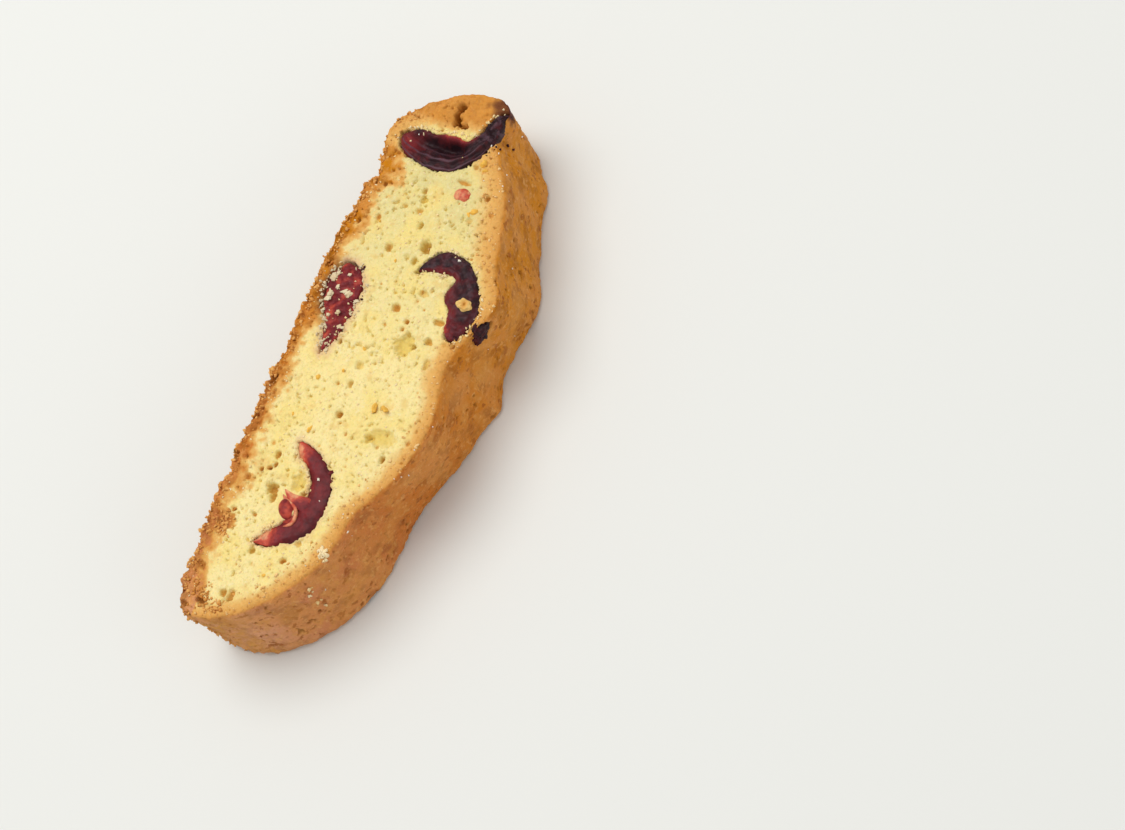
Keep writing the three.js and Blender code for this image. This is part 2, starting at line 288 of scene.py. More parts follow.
class BiscottiSliceSettings(bpy.types.PropertyGroup):
    cell: length_setting("Cell", "Width of a mesh cell before thinning", 0.0002, 0.0001)
    grain_height: length_setting("Grain height", "Height of the crumb's fine lumps", 0.00034)
    crag_height: length_setting("Crag height", "Height of the crags on the loaf base", 0.0011)
    dents: count_setting("Dents", "Dents scattered over each cut face", 260)
    pore_share: bpy.props.FloatProperty(
        name="Pore share", description="Share of the crumb that fine pores take",
        default=0.05, min=0.0, max=0.5, subtype="FACTOR")
    triangles: count_setting("Triangles", "Triangles that the slice is thinned to", 190000)
    crumb_colour: colour_setting("Crumb", "Pale crumb", (0.92, 0.77, 0.36))
    yolk_colour: colour_setting("Rich crumb", "Yellower patches of the crumb", (0.90, 0.71, 0.245))
    pale_colour: colour_setting("Pale crumb", "Palest grains of the crumb", (0.92, 0.82, 0.50))
    toast_colour: colour_setting("Toast", "Toasted crumb at the rim", (0.68, 0.30, 0.065))
    crust_colour: colour_setting("Crust", "Browned crust", (0.65, 0.235, 0.008))
    dull_crust_colour: colour_setting(
        "Dull crust", "Duller crust toward the pointed end", (0.59, 0.180, 0.028))


class BiscottiBerrySettings(bpy.types.PropertyGroup):
    wrinkle: length_setting("Wrinkle", "Height of the folds in the dried skin", 0.00035)
    skin_colour: colour_setting("Skin", "Dark dried skin", (0.026, 0.010, 0.013))
    flesh_colour: colour_setting("Flesh", "Red dried flesh", (0.22, 0.022, 0.026))
    cut_colour: colour_setting("Cut flesh", "Thin flesh that lets light through", (0.56, 0.085, 0.05))
    # Painted sheen: a mauve highlight painted on the ridges and folds of the dark skin.
    ridge_sheen_colour: colour_setting("Sheen", "Dusty mauve on the folds of dark skin", (0.12, 0.060, 0.080))
    edge_colour: colour_setting("Edge", "Palest edge, stained into the crumb", (0.76, 0.33, 0.17))


class BiscottiGrainSettings(bpy.types.PropertyGroup):
    crumbs: count_setting("Crumbs", "Fine pale crumbs held on the upper cut face", 700)
    toasted: count_setting("Toasted", "Toasted crumbs held on the loaf base", 1300)
    rim: count_setting("Rim crumbs", "Lightly toasted crumbs held along the rim of the crust", 420)
    sugar: count_setting("Sugar grains", "Grains of sugar held on the crust", 26)
    zest_colour: colour_setting("Zest", "Flecks of orange zest", (0.98, 0.56, 0.09))
    sugar_colour: colour_setting("Sugar", "Grains of sugar", (0.93, 0.90, 0.84))


class BiscottiStageSettings(bpy.types.PropertyGroup):
    field_of_view: angle_setting("Field of view", "Across the whole frame", 22)
    tilt: angle_setting("Tilt", "Angle between the line of sight and the cut face's normal", 31)
    turn: angle_setting("Turn", "Direction in the frame toward which the cut face leans", 43)
    base_turn: angle_setting("Base turn", "Turn of the slice about its own normal", 21.5)
    key_power: strength_setting("Key", "Power of the large soft light, in watts", 5.3)
    fill_power: strength_setting("Fill", "Power of the fill light, in watts", 1.35)
    sky_strength: strength_setting("Sky", "Strength of the even light all round", 0.565)
    floor_colour: colour_setting("Floor", "Plain pale floor", (0.765, 0.775, 0.755))


def smooth_step(low, high, value):
    share = np.clip((value - low) / (high - low), 0.0, 1.0)
    return share * share * (3.0 - 2.0 * share)


def hump(distance, width):
    return np.exp(-((distance / width) ** 2))


def highest(values, share, full_share):
    """1 for the given full share of highest values, fading to 0 over the rest of the share."""
    return smooth_step(*np.quantile(values, [1 - share, 1 - full_share]), values)


def outline_half(cut, side):
    """Evenly spaced points of one half of a cut face's outline, anticlockwise."""
    turn = np.linspace(0.0, math.pi, OUTLINE_SAMPLES)
    if side < 0:
        turn = turn[::-1]
    flank = cut[side]
    along = np.cos(turn)
    power = np.where(along > 0, flank["far_power"], flank["near_power"])
    x = HALF_LENGTH * np.sign(along) * np.abs(along) ** (2.0 / power)
    fullness = np.abs(np.sin(turn)) ** (2.0 / power)
    middle = cut["middle"] + cut["drift"] * x
    swell = sum(reach * hump(x - at, width) for at, reach, width in flank["swellings"])
    y = middle + (flank["edge"] - middle + side * swell) * fullness
    walked = np.concatenate([[0.0], np.cumsum(np.hypot(np.diff(x), np.diff(y)))])
    wanted = np.linspace(0.0, walked[-1], HALF_RING_POINTS + 1)[:-1]
    return np.stack([np.interp(wanted, walked, x), np.interp(wanted, walked, y)], axis=1)


def outline_ring(cut):
    return np.vstack([outline_half(cut, 1), outline_half(cut, -1)])


UPPER_RING = outline_ring(UPPER_CUT)
LOWER_RING = outline_ring(LOWER_CUT)


def unevenness(a, b, c):
    """A smooth uneven value between about -1 and 1, the same as in the solid's surface."""
    broad = math.sin(a + 1.7 * b + 0.4) * math.cos(1.3 * b - 0.8 * c + 1.1)
    middling = math.sin(2.3 * a - 1.1 * c + 2) * math.cos(2.9 * c + 1.9 * b)
    fine = math.sin(4.1 * a + 3.7 * c) * math.cos(3.3 * b - 2.2 * a + 0.7)
    return 0.5 * broad + 0.3 * middling + 0.2 * fine


def wall_relief(point, on_base):
    """How far the wall stands in or out of its smooth form, in millimetres."""
    if on_base:
        return 0.3 * unevenness(0.53 * point.x, 0.41 * point.z, 0.9 * point.z - 0.31 * point.x)
    dimples = 0.16 * unevenness(0.45 * point.x, 0.5 * point.z, 0.3 * point.x)
    line = CREASE_FOOT - CREASE_TOP
    share = min(max((point - CREASE_TOP).dot(line) / line.length_squared, 0.0), 1.0)
    away = (CREASE_TOP + share * line - point).length
    return dimples - CREASE_DEPTH * float(hump(away, CREASE_WIDTH))


def wrapped_grid(columns, rows, place):
    """A closed tube from a grid whose columns wrap round. Place gives the points at column and row shares."""
    shape = bmesh.new()
    bmesh.ops.create_grid(shape, x_segments=columns, y_segments=rows, size=1.0)
    shares = np.array([vertex.co.xy for vertex in shape.verts]) / 2 + 0.5
    for vertex, spot in zip(shape.verts, place(shares[:, 0], shares[:, 1])):
        vertex.co = spot
    bmesh.ops.remove_doubles(shape, verts=shape.verts, dist=1e-5)
    rims = [edge for edge in shape.edges if edge.is_boundary]
    bmesh.ops.holes_fill(shape, edges=rims, sides=0)
    bmesh.ops.recalc_face_normals(shape, faces=shape.faces)
    return shape


def linked_object(name, mesh):
    piece = bpy.data.objects.new(name, mesh)
    bpy.context.scene.collection.objects.link(piece)
    return piece


def object_from(shape, name):
    mesh = bpy.data.meshes.new(name)
    shape.to_mesh(mesh)
    shape.free()
    return linked_object(name, mesh)


def move_points(mesh, points):
    mesh.vertices.foreach_set("co", points.astype(np.float32).ravel())
    mesh.update()


def keep_above_floor(piece):
    """Nothing of a piece reaches below the flat lower cut face."""
    spots = points_of(piece.data)
    spots[:, 2] = np.maximum(spots[:, 2], 0.0)
    move_points(piece.data, spots)


def apply_modifiers(piece):
    """The piece keeps the mesh that its modifiers make of it."""
    graph = bpy.context.evaluated_depsgraph_get()
    old = piece.data
    piece.data = bpy.data.meshes.new_from_object(piece.evaluated_get(graph))
    piece.modifiers.clear()
    bpy.data.meshes.remove(old)


def in_row_frame(spot):
    """A point of the outline's frame, in millimetres, as a point of the row frame, in metres."""
    return (Vector(spot) + ORIGIN_SHIFT) * MILLIMETRE


def finish_piece(piece, material, slot, *nodes):
    """Dresses a piece that is in the row frame already, hangs it under the root body and hides the model's
    nodes that it stands for.
    """
    piece.data.materials.clear()
    piece.data.materials.append(material)
    piece.data.shade_smooth()
    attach(piece, "root")
    if nodes:
        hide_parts(*nodes)


def finish_model(piece, material, slot, *nodes):
    """Brings a piece from millimetres in the outline's frame to its place, and finishes it."""
    piece.data.transform(Matrix.Scale(MILLIMETRE, 4) @ Matrix.Translation(ORIGIN_SHIFT))
    finish_piece(piece, material, slot, *nodes)


def store(mesh, name, values):
    layer = mesh.attributes.get(name) or mesh.attributes.new(name, "FLOAT", "POINT")
    layer.data.foreach_set("value", np.asarray(values, np.float32))


def points_of(mesh, what="co"):
    flat = np.empty(len(mesh.vertices) * 3, np.float32)
    mesh.vertices.foreach_get(what, flat)
    return flat.reshape(-1, 3).astype(float)


def noise_at(points, size, seed=0.0):
    return np.array([noise.noise(Vector(p)) for p in points / size + seed])


def rough_at(points, size, octaves, seed=0.0):
    return np.array([noise.fractal(Vector(p), 1.0, 2.0, octaves) for p in points / size + seed])


def lumps_at(points, size, seed=0.0):
    """0 at the middle of each lump and about 1 between lumps."""
    return np.array([noise.voronoi(Vector(p))[0][0] for p in points / size + seed])


def smooth_curve(values, share):
    """Points of a smooth curve through rows of values, at shares of its way."""
    rows = np.asarray(values, float)
    rows = np.vstack([2 * rows[0] - rows[1], rows, 2 * rows[-1] - rows[-2]])
    spot = np.clip(np.atleast_1d(share), 0.0, 1.0) * (len(values) - 1)
    i = np.minimum(spot.astype(int), len(values) - 2)
    t = (spot - i)[:, None]
    before, start, end, after = rows[i], rows[i + 1], rows[i + 2], rows[i + 3]
    bend = 2 * before - 5 * start + 4 * end - after
    twist = 3 * start - before - 3 * end + after
    return 0.5 * (2 * start + (end - before) * t + bend * t * t + twist * t ** 3)


def end_taper(along):
    """How a berry narrows to nothing at its two ends."""
    return np.sqrt(np.clip(1 - np.abs(2 * along - 1) ** 9, 0.0, 1.0))


def left_of(steps):
    """The directions to the left of steps along a line."""
    steps = steps[:, :2] / np.hypot(steps[:, 0], steps[:, 1])[:, None]
    return np.stack([-steps[:, 1], steps[:, 0]], axis=1)


def ring_at(height):
    """The slice's outline at a height in millimetres."""
    return LOWER_RING + (UPPER_RING - LOWER_RING) * (height / THICKNESS)


def outward_of(ring, i, reach):
    """The direction that points out of a ring at one of its points."""
    ahead = ring[(i + reach) % len(ring)] - ring[i - reach]
    return Vector((ahead[1], -ahead[0], 0.0)).normalized()


def berry_place(points, stations, samples=160):
    """Where points lie along a berry and across it, and how far outside its edge, in millimetres."""
    shares = np.linspace(0.0, 1.0, samples)
    rows = smooth_curve(stations, shares)
    left = left_of(np.gradient(rows[:, :2], axis=0))
    gap_x = points[:, None, 0] - rows[None, :, 0]
    gap_y = points[:, None, 1] - rows[None, :, 1]
    side = gap_x * left[None, :, 0] + gap_y * left[None, :, 1]
    forward = gap_x * left[None, :, 1] - gap_y * left[None, :, 0]
    half = np.where(side > 0, rows[None, :, 2], rows[None, :, 3])
    half = np.maximum(half * end_taper(shares)[None, :], 0.2)
    best = np.hypot(side / half, forward / END_REACH).argmin(axis=1)
    every = np.arange(len(points))
    side, half, forward = side[every, best], half[every, best], forward[every, best]
    return shares[best], side / half, np.maximum(np.abs(side) - half, np.abs(forward) - END_REACH)


def rim_distance(points, ring):
    """Distance of each point from an outline, and whether the nearest of the outline is loaf base."""
    tree = KDTree(len(ring))
    for i, (x, y) in enumerate(ring):
        tree.insert((x, y, 0.0), i)
    tree.balance()
    found = [tree.find((x, y, 0.0)) for x, y in points[:, :2]]
    away = np.array([f[2] for f in found])
    on_base = np.array([f[1] < HALF_RING_POINTS for f in found], float)
    return away, on_base


def rim_roundness(i):
    """Radius of the rim at a point of the outline: rounder on the crust than on the loaf base."""
    if i < HALF_RING_POINTS:
        return BASE_ROUND
    share = i / HALF_RING_POINTS - 1.0
    return BASE_ROUND + (CRUST_ROUND - BASE_ROUND) * float(smooth_step(0.0, 0.08, min(share, 1.0 - share)))


def slice_form():
    """The slice's smooth body: walls between the two outlines with rounded rims, closed by flat cut faces."""
    count = len(UPPER_RING)

    def place(round_share, height_share):
        spots = []
        climb = 0.5 - 0.5 * np.cos(math.pi * height_share)
        for i, share in zip(np.rint(round_share * count).astype(int) % count, climb):
            near = [(i - 1) % count, i, (i + 1) % count]
            ring = ring_at(THICKNESS * share)[near]
            spot = Vector((*ring[1], THICKNESS * share))
            radius = rim_roundness(i)
            over = max(radius - min(spot.z, THICKNESS - spot.z), 0.0)
            inset = radius - math.sqrt(max(radius ** 2 - over ** 2, 0.0))
            spots.append(spot + outward_of(ring, 1, 1) * (wall_relief(spot, i < HALF_RING_POINTS) - inset))
        return spots

    return wrapped_grid(count, WALL_ROWS, place)


def scatter_dents(draw, count, ring):
    """Dents of one cut face: x, y, half length, half width, depth, browning. Most of them are small."""
    low, high = ring.min(axis=0), ring.max(axis=0)
    dents = []
    while len(dents) < count:
        x, y = draw.uniform(low[0], high[0]), draw.uniform(low[1], high[1])
        radius = 0.22 + 0.62 * draw.random() ** 3.4
        stretch, steepness = draw.uniform(0.6, 1.2), draw.uniform(0.8, 2.2)
        browning = 0.6 * draw.random() ** 1.5
        if noise.noise(Vector((0.16 * x, 0.16 * y, 4.0))) > draw.uniform(-0.4, 0.3):
            dents.append((x, y, radius, radius * stretch, radius * steepness, browning))
    return dents


def carve(points, browned, chosen, dents, direction):
    """Pushes the chosen points of a cut face into its dents. Direction is 1 for the upper face."""
    tree = KDTree(len(chosen))
    for i in chosen:
        tree.insert((points[i, 0], points[i, 1], 0.0), i)
    tree.balance()
    for x, y, half_length, half_width, depth, browning in dents:
        for spot, i, _ in tree.find_range((x, y, 0.0), 1.5 * max(half_length, half_width)):
            ragged = 0.35 * noise.noise(Vector((spot.x * 1.6, spot.y * 1.6, x)))
            share = max(math.hypot((spot.x - x) / half_length, (spot.y - y) / half_width) + ragged, 0.0)
            if share < 1.0:
                points[i, 2] -= direction * depth * math.sqrt(1.0 - share * share)
                browned[i] = max(browned[i], browning * min(1.0, 2.2 * (1.0 - share)))


class SliceSurface:
    """The slice's vertices in millimetres, with the regions and the unevenness at each of them."""

    def __init__(self, mesh, pore_share):
        self.points = points = points_of(mesh)
        self.normals = points_of(mesh, "normal")
        along = points[:, 0]
        self.upper, self.lower = (smooth_step(0.45, 0.85, side * self.normals[:, 2]) for side in (1, -1))
        self.face = self.upper + self.lower
        self.wall = 1.0 - self.face
        base = self.wall * smooth_step(-0.1, 0.5, self.normals[:, 1]) * smooth_step(42.0, 34.0, along)
        self.base = np.maximum(base, self.wall * smooth_step(-47.5, -49.0, along) * 0.6)
        self.crust = self.wall - self.base

        high = points[:, 2] > THICKNESS / 2
        away_upper, base_upper = rim_distance(points, UPPER_RING)
        away_lower, base_lower = rim_distance(points, LOWER_RING)
        self.away = np.where(high, away_upper, away_lower)
        self.near_base = np.where(high, base_upper, base_lower) * smooth_step(40.0, 35.0, along)
        self.rim_crumb = smooth_step(3.6, 0.6, self.away) * self.near_base * self.face

        self.coarse = lumps_at(points, 1.05)
        self.fine = lumps_at(points, 0.52, 7.3)
        self.crags = lumps_at(points, 1.9, 1.7)
        self.broad = rough_at(points, 3.4, 3, 3.1)
        self.wander = noise_at(points, 5.5, 2.0)
        self.jag = noise_at(points, 1.1, 6.0)
        self.tiny = noise_at(points, 0.45, 5.0)
        worm = 0.8 * noise_at(points, 0.75, 14.0) + 0.6 * self.tiny + 0.3 * self.wander
        self.pore = highest(worm, pore_share, 0.3 * pore_share)
        self.pit = highest(noise_at(points, 0.8, 21.0) + 0.5 * self.wander, 0.028, 0.007)

    def raise_relief(self, grain, crag):
        """Crumb on the cut faces, crags on the loaf base and gentle dimples and pits on the crust."""
        coarse, fine = 0.45 - self.coarse, 0.45 - self.fine
        crumb = grain * (0.9 * coarse + 0.55 * fine + 0.8 * self.broad)
        crumb -= 0.6 * self.pore * smooth_step(0.6, 1.6, self.away)
        crumb += self.rim_crumb * crag * (0.55 * (0.42 - self.crags) + 0.25 * fine)
        crumb += smooth_step(41.0, 43.0, self.points[:, 0]) * (0.35 * coarse + 0.4 * self.broad)
        base = crag * (0.9 * (0.45 - self.crags) + 0.5 * (0.5 - self.coarse) + 0.22 * (0.5 - self.fine))
        base -= 0.25 * self.pore
        crust = 0.24 * self.broad + 0.18 * (0.5 - self.coarse) + 0.12 * (0.5 - self.fine) - 0.35 * self.pit
        self.points += self.normals * (self.face * crumb + self.base * base + self.crust * crust)[:, None]

    def break_edges(self):
        """Chips the rims of the loaf base and opens the cavity round the berry in the crust."""
        chipped = np.maximum(self.wander + 0.8 * self.jag + 0.15, 0.0)
        chipped *= smooth_step(2.4, 0.2, self.away) * self.near_base
        self.points[:, 2] -= (self.upper - self.lower) * 1.1 * chipped
        gap = np.linalg.norm(self.points - CRUST_CAVITY, axis=1)
        self.cavity = smooth_step(1.0, 0.55, gap / 2.1 + 0.3 * self.jag) * self.wall
        self.points -= self.normals * (1.3 * self.cavity)[:, None]

    def sink_pockets(self):
        """Sinks the upper cut face under the berries, and notes how near each vertex is to them."""
        self.closest, self.stained = np.full((2, len(self.points)), 9.0)
        by_top = (self.points[:, 2] > THICKNESS - 1.2) & (self.wall > 0.3)
        top = np.flatnonzero((self.upper > 0.3) | by_top)
        ragged = 0.3 * self.tiny[top] + 0.35 * self.jag[top]
        for name, stations in BERRY_STATIONS.items():
            outside = berry_place(self.points[top], stations)[2]
            self.closest[top] = np.minimum(self.closest[top], outside + ragged)
            if name in STAIN_GAPS:
                self.stained[top] = np.minimum(self.stained[top], outside + STAIN_GAPS[name])
        self.points[:, 2] -= POCKET_DEPTH * smooth_step(0.0, -0.45, self.closest) * (self.upper > 0.3)

    def carve_dents(self, count):
        """Carves hollows and dents, and notes what lies low, where shade is painted, and what is browned
        there.
        """
        draw = random.Random(SEEDS["dents"])
        before = self.points[:, 2].copy()
        self.browned = np.zeros(len(before))
        upper_chosen = np.flatnonzero((self.upper > 0.5) & (self.closest > 0.25))
        lower_chosen = np.flatnonzero(self.lower > 0.5)
        for chosen, ring, direction in ((upper_chosen, UPPER_RING, 1), (lower_chosen, LOWER_RING, -1)):
            carve(self.points, self.browned, chosen, scatter_dents(draw, count, ring), direction)
        carve(self.points, self.browned, upper_chosen, HOLLOWS, 1)
        dented = np.clip(np.abs(self.points[:, 2] - before) / 0.9, 0.0, 1.0)
        self.browned *= dented > 0.05
        low_crag = np.clip((self.crags - 0.38) * 1.7, 0.0, 1.0) * np.maximum(self.base, self.rim_crumb)
        between = np.clip(1.6 * (self.fine - 0.5), 0.0, 1.0)
        # Painted shade: dents, pores, crags on the loaf base, gaps between fine lumps, pits in the crust and
        # the cavity round the berry are darkened in colour.
        self.hollow_shade = np.max([
            dented, 0.85 * self.face * self.pore, 0.8 * low_crag, 0.3 * self.face * between,
            self.crust * np.maximum(0.9 * self.pit, self.cavity)], axis=0)
        self.points[:, 2] = np.maximum(self.points[:, 2], 0.0)

    def toasted(self):
        """How toasted each vertex is: 0 is pale crumb and 1 is crust."""
        away, wander, jag, along = self.away, self.wander, self.jag, self.points[:, 0]
        base_band = 3.4 + 1.8 * wander + 1.6 * jag + 2.6 * smooth_step(-41.0, -47.0, along)
        grainy = away + 0.7 * self.tiny + 1.2 * (self.coarse - 0.45)
        base_toast = smooth_step(base_band + 2.0, base_band - 2.4, grainy) * self.near_base
        crust_band = 4.4 + 2.0 * smooth_step(-10.0, 20.0, along) + 2.2 * wander + 1.2 * jag
        crust_toast = 0.66 * np.clip(1.0 - (away - 0.3) / np.maximum(crust_band, 1.5), 0.0, 1.0) ** 1.3
        crust_toast *= 1.0 - 0.5 * self.near_base
        far_toast = 0.72 * smooth_step(41.5, 44.5, along + 1.5 * wander + 0.6 * jag) * (self.face > 0.3)
        face_toast = np.max([base_toast, crust_toast, far_toast], axis=0)
        wall_toast = 0.9 + 0.2 * wander - (0.22 + 0.3 * wander + 0.3 * jag) * self.base
        return np.maximum(self.face * face_toast + self.wall * wall_toast, self.browned)

    def blushed(self):
        """Where berries have stained the crumb round them and the slice's tip."""
        from_tip = np.linalg.norm((self.points - NUB_STAIN) * (1.0, 0.8, 0.7), axis=1)
        tip = smooth_step(3.0, 1.2, from_tip + 1.2 * self.jag)
        return np.maximum(smooth_step(1.7, 0.0, self.stained + 0.6 * self.jag) * (self.upper > 0.3), tip)


def shape_slice(settings, mesh):
    """Moves the slice's vertices into crumb, pores, crags and crust, and records what lies where."""
    surface = SliceSurface(mesh, settings.pore_share)
    surface.raise_relief(settings.grain_height / MILLIMETRE, settings.crag_height / MILLIMETRE)
    surface.break_edges()
    surface.sink_pockets()
    surface.carve_dents(settings.dents)
    move_points(mesh, surface.points)
    store(mesh, "toast", np.clip(surface.toasted(), 0.0, 1.0))
    store(mesh, "hollow_shade", np.clip(surface.hollow_shade, 0.0, 1.0))
    store(mesh, "crust", surface.crust)
    store(mesh, "blush", surface.blushed())


def camera_axes(stage):
    """The camera's right, up and backward directions and its place in the row frame, in metres."""
    focal_px = FRAME_WIDTH_PX / 2 / math.tan(stage.field_of_view / 2)
    distance = focal_px / PIXELS_PER_MILLIMETRE
    lean, turn, spin = stage.tilt, stage.turn, stage.base_turn
    level = Vector((math.sin(turn), math.cos(turn), 0.0))
    steep = Vector((-math.cos(lean) * math.cos(turn), math.cos(lean) * math.sin(turn), -math.sin(lean)))
    normal = Vector((-math.sin(lean) * math.cos(turn), math.sin(lean) * math.sin(turn), math.cos(lean)))
    long_side = math.cos(spin) * level + math.sin(spin) * steep
    short_side = -math.sin(spin) * level + math.cos(spin) * steep
    sight = Vector((AIM_COLUMN_PX - FRAME_WIDTH_PX / 2, FRAME_HEIGHT_PX / 2 - AIM_ROW_PX, -focal_px))
    sight.normalize()
    swing = Vector((0.0, 0.0, -1.0)).rotation_difference(sight).to_matrix()
    turned = swing @ Matrix((long_side, short_side, normal)).transposed()
    place = (AIM_POINT - turned.transposed() @ (distance * sight)) * MILLIMETRE
    return turned[0], turned[1], turned[2], place


class Sheet:
    """A material's or group's nodes, added one by one and joined as they are added."""

    def __init__(self, tree):
        self.tree = tree

    def join(self, socket, value):
        """Links a socket to the value where that is a socket, and otherwise sets it."""
        if isinstance(value, bpy.types.NodeSocket):
            self.tree.links.new(value, socket)
        else:
            socket.default_value = value

    def add(self, kind, inputs=None, **settings):
        node = self.tree.nodes.new(kind)
        row, column = divmod(len(self.tree.nodes), 12)
        node.location = (180 * column, -220 * row)
        for name, value in settings.items():
            setattr(node, name, value)
        for name, value in (inputs or {}).items():
            self.join(node.inputs[name], value)
        return node

    def filled(self, name, make, inputs):
        """The first output of a shared group, made when it is first asked for."""
        tree = bpy.data.node_groups.get(name) or make()
        return self.add("ShaderNodeGroup", node_tree=tree, inputs=inputs).outputs[0]

    def clouds(self, place, scale, low, high):
        inputs = {"Vector": place, "Scale": scale, "Low": low, "High": high}
        return self.filled("mottle", mottle_group, inputs)

    def spread(self, value, low, high, kind="SMOOTHSTEP"):
        inputs = {"Value": value, "From Min": low, "From Max": high}
        return self.add("ShaderNodeMapRange", interpolation_type=kind, inputs=inputs).outputs[0]

    def mix(self, factor, low, high, blend="MIX"):
        node = self.add("ShaderNodeMix", data_type="RGBA", blend_type=blend, clamp_factor=True)
        for i, value in ((0, factor), (6, low), (7, high)):
            self.join(node.inputs[i], value)
        return node.outputs[2]

    def maths(self, operation, first, second):
        return self.add("ShaderNodeMath", operation=operation, inputs={0: first, 1: second}).outputs[0]

    def attribute(self, name):
        return self.add("ShaderNodeAttribute", attribute_name=name).outputs["Fac"]

    def ramp(self, factor, stops):
        node = self.add("ShaderNodeValToRGB", inputs={"Fac": factor})
        elements = node.color_ramp.elements
        for i, (place, colour) in enumerate(stops):
            stop = elements[i] if i < 2 else elements.new(place)
            stop.position = place
            stop.color = opaque(colour)
        return node.outputs["Color"]


def opaque(colour):
    return (*tuple(colour)[:3], 1.0)


def shade(colour, factor):
    return tuple(min(c * factor, 1.0) for c in tuple(colour)[:3])


def new_group(name, inputs, output, kind):
    """A shader group that takes a vector and named numbers and puts out one value."""
    tree = bpy.data.node_groups.new(name, "ShaderNodeTree")
    tree.interface.new_socket("Vector", in_out="INPUT", socket_type="NodeSocketVector")
    for label, default in inputs.items():
        socket = tree.interface.new_socket(label, in_out="INPUT", socket_type="NodeSocketFloat")
        socket.default_value = default
    tree.interface.new_socket(output, in_out="OUTPUT", socket_type=kind)
    sheet = Sheet(tree)
    return tree, sheet, sheet.add("NodeGroupInput").outputs, sheet.add("NodeGroupOutput").inputs[output]


def mottle_group():
    """Uneven patches of a given size, as a mask."""
    tree, sheet, given, out = new_group(
        "mottle", {"Scale": 100.0, "Low": 0.4, "High": 0.6}, "Mask", "NodeSocketFloat")
    cloud = sheet.add("ShaderNodeTexNoise", inputs={
        "Vector": given["Vector"], "Scale": given["Scale"], "Detail": 3.0, "Roughness": 0.55})
    sheet.join(out, sheet.spread(cloud.outputs[0], given["Low"], given["High"]))
    return tree


def fine_grain_group():
    """The finest grain of a baked or dried surface, as a normal."""
    tree, sheet, given, out = new_group(
        "fine_grain", {"Scale": 3000.0, "Strength": 0.5, "Distance": 0.0001}, "Normal", "NodeSocketVector")
    cloud = sheet.add("ShaderNodeTexNoise", inputs={
        "Vector": given["Vector"], "Scale": given["Scale"], "Detail": 4.0, "Roughness": 0.6})
    bump = sheet.add("ShaderNodeBump", inputs={
        "Strength": given["Strength"], "Distance": given["Distance"], "Height": cloud.outputs[0]})
    sheet.join(out, bump.outputs["Normal"])
    return tree


def finish_surface(sheet, surface, place, colour, roughness, specular, grain):
    """Gives a surface its colour, roughness and finest grain: scale, strength, distance."""
    scale, strength, distance = grain
    surface.inputs["Specular IOR Level"].default_value = specular
    sheet.join(surface.inputs["Base Color"], colour)
    sheet.join(surface.inputs["Roughness"], roughness)
    sheet.join(surface.inputs["Normal"], sheet.filled("fine_grain", fine_grain_group, {
        "Vector": place, "Scale": scale, "Strength": strength, "Distance": distance}))


def let_light_in(surface, weight, radius):
    surface.inputs["Subsurface Weight"].default_value = weight
    surface.inputs["Subsurface Radius"].default_value = radius
    surface.inputs["Subsurface Scale"].default_value = MILLIMETRE


def new_material(name):
    material = bpy.data.materials.new(name)
    material.use_nodes = True
    material.node_tree.nodes.clear()
    sheet = Sheet(material.node_tree)
    surface = sheet.add("ShaderNodeBsdfPrincipled")
    out = sheet.add("ShaderNodeOutputMaterial")
    material.node_tree.links.new(surface.outputs["BSDF"], out.inputs["Surface"])
    place = sheet.add("ShaderNodeTexCoord").outputs["Object"]
    return material, sheet, surface, place


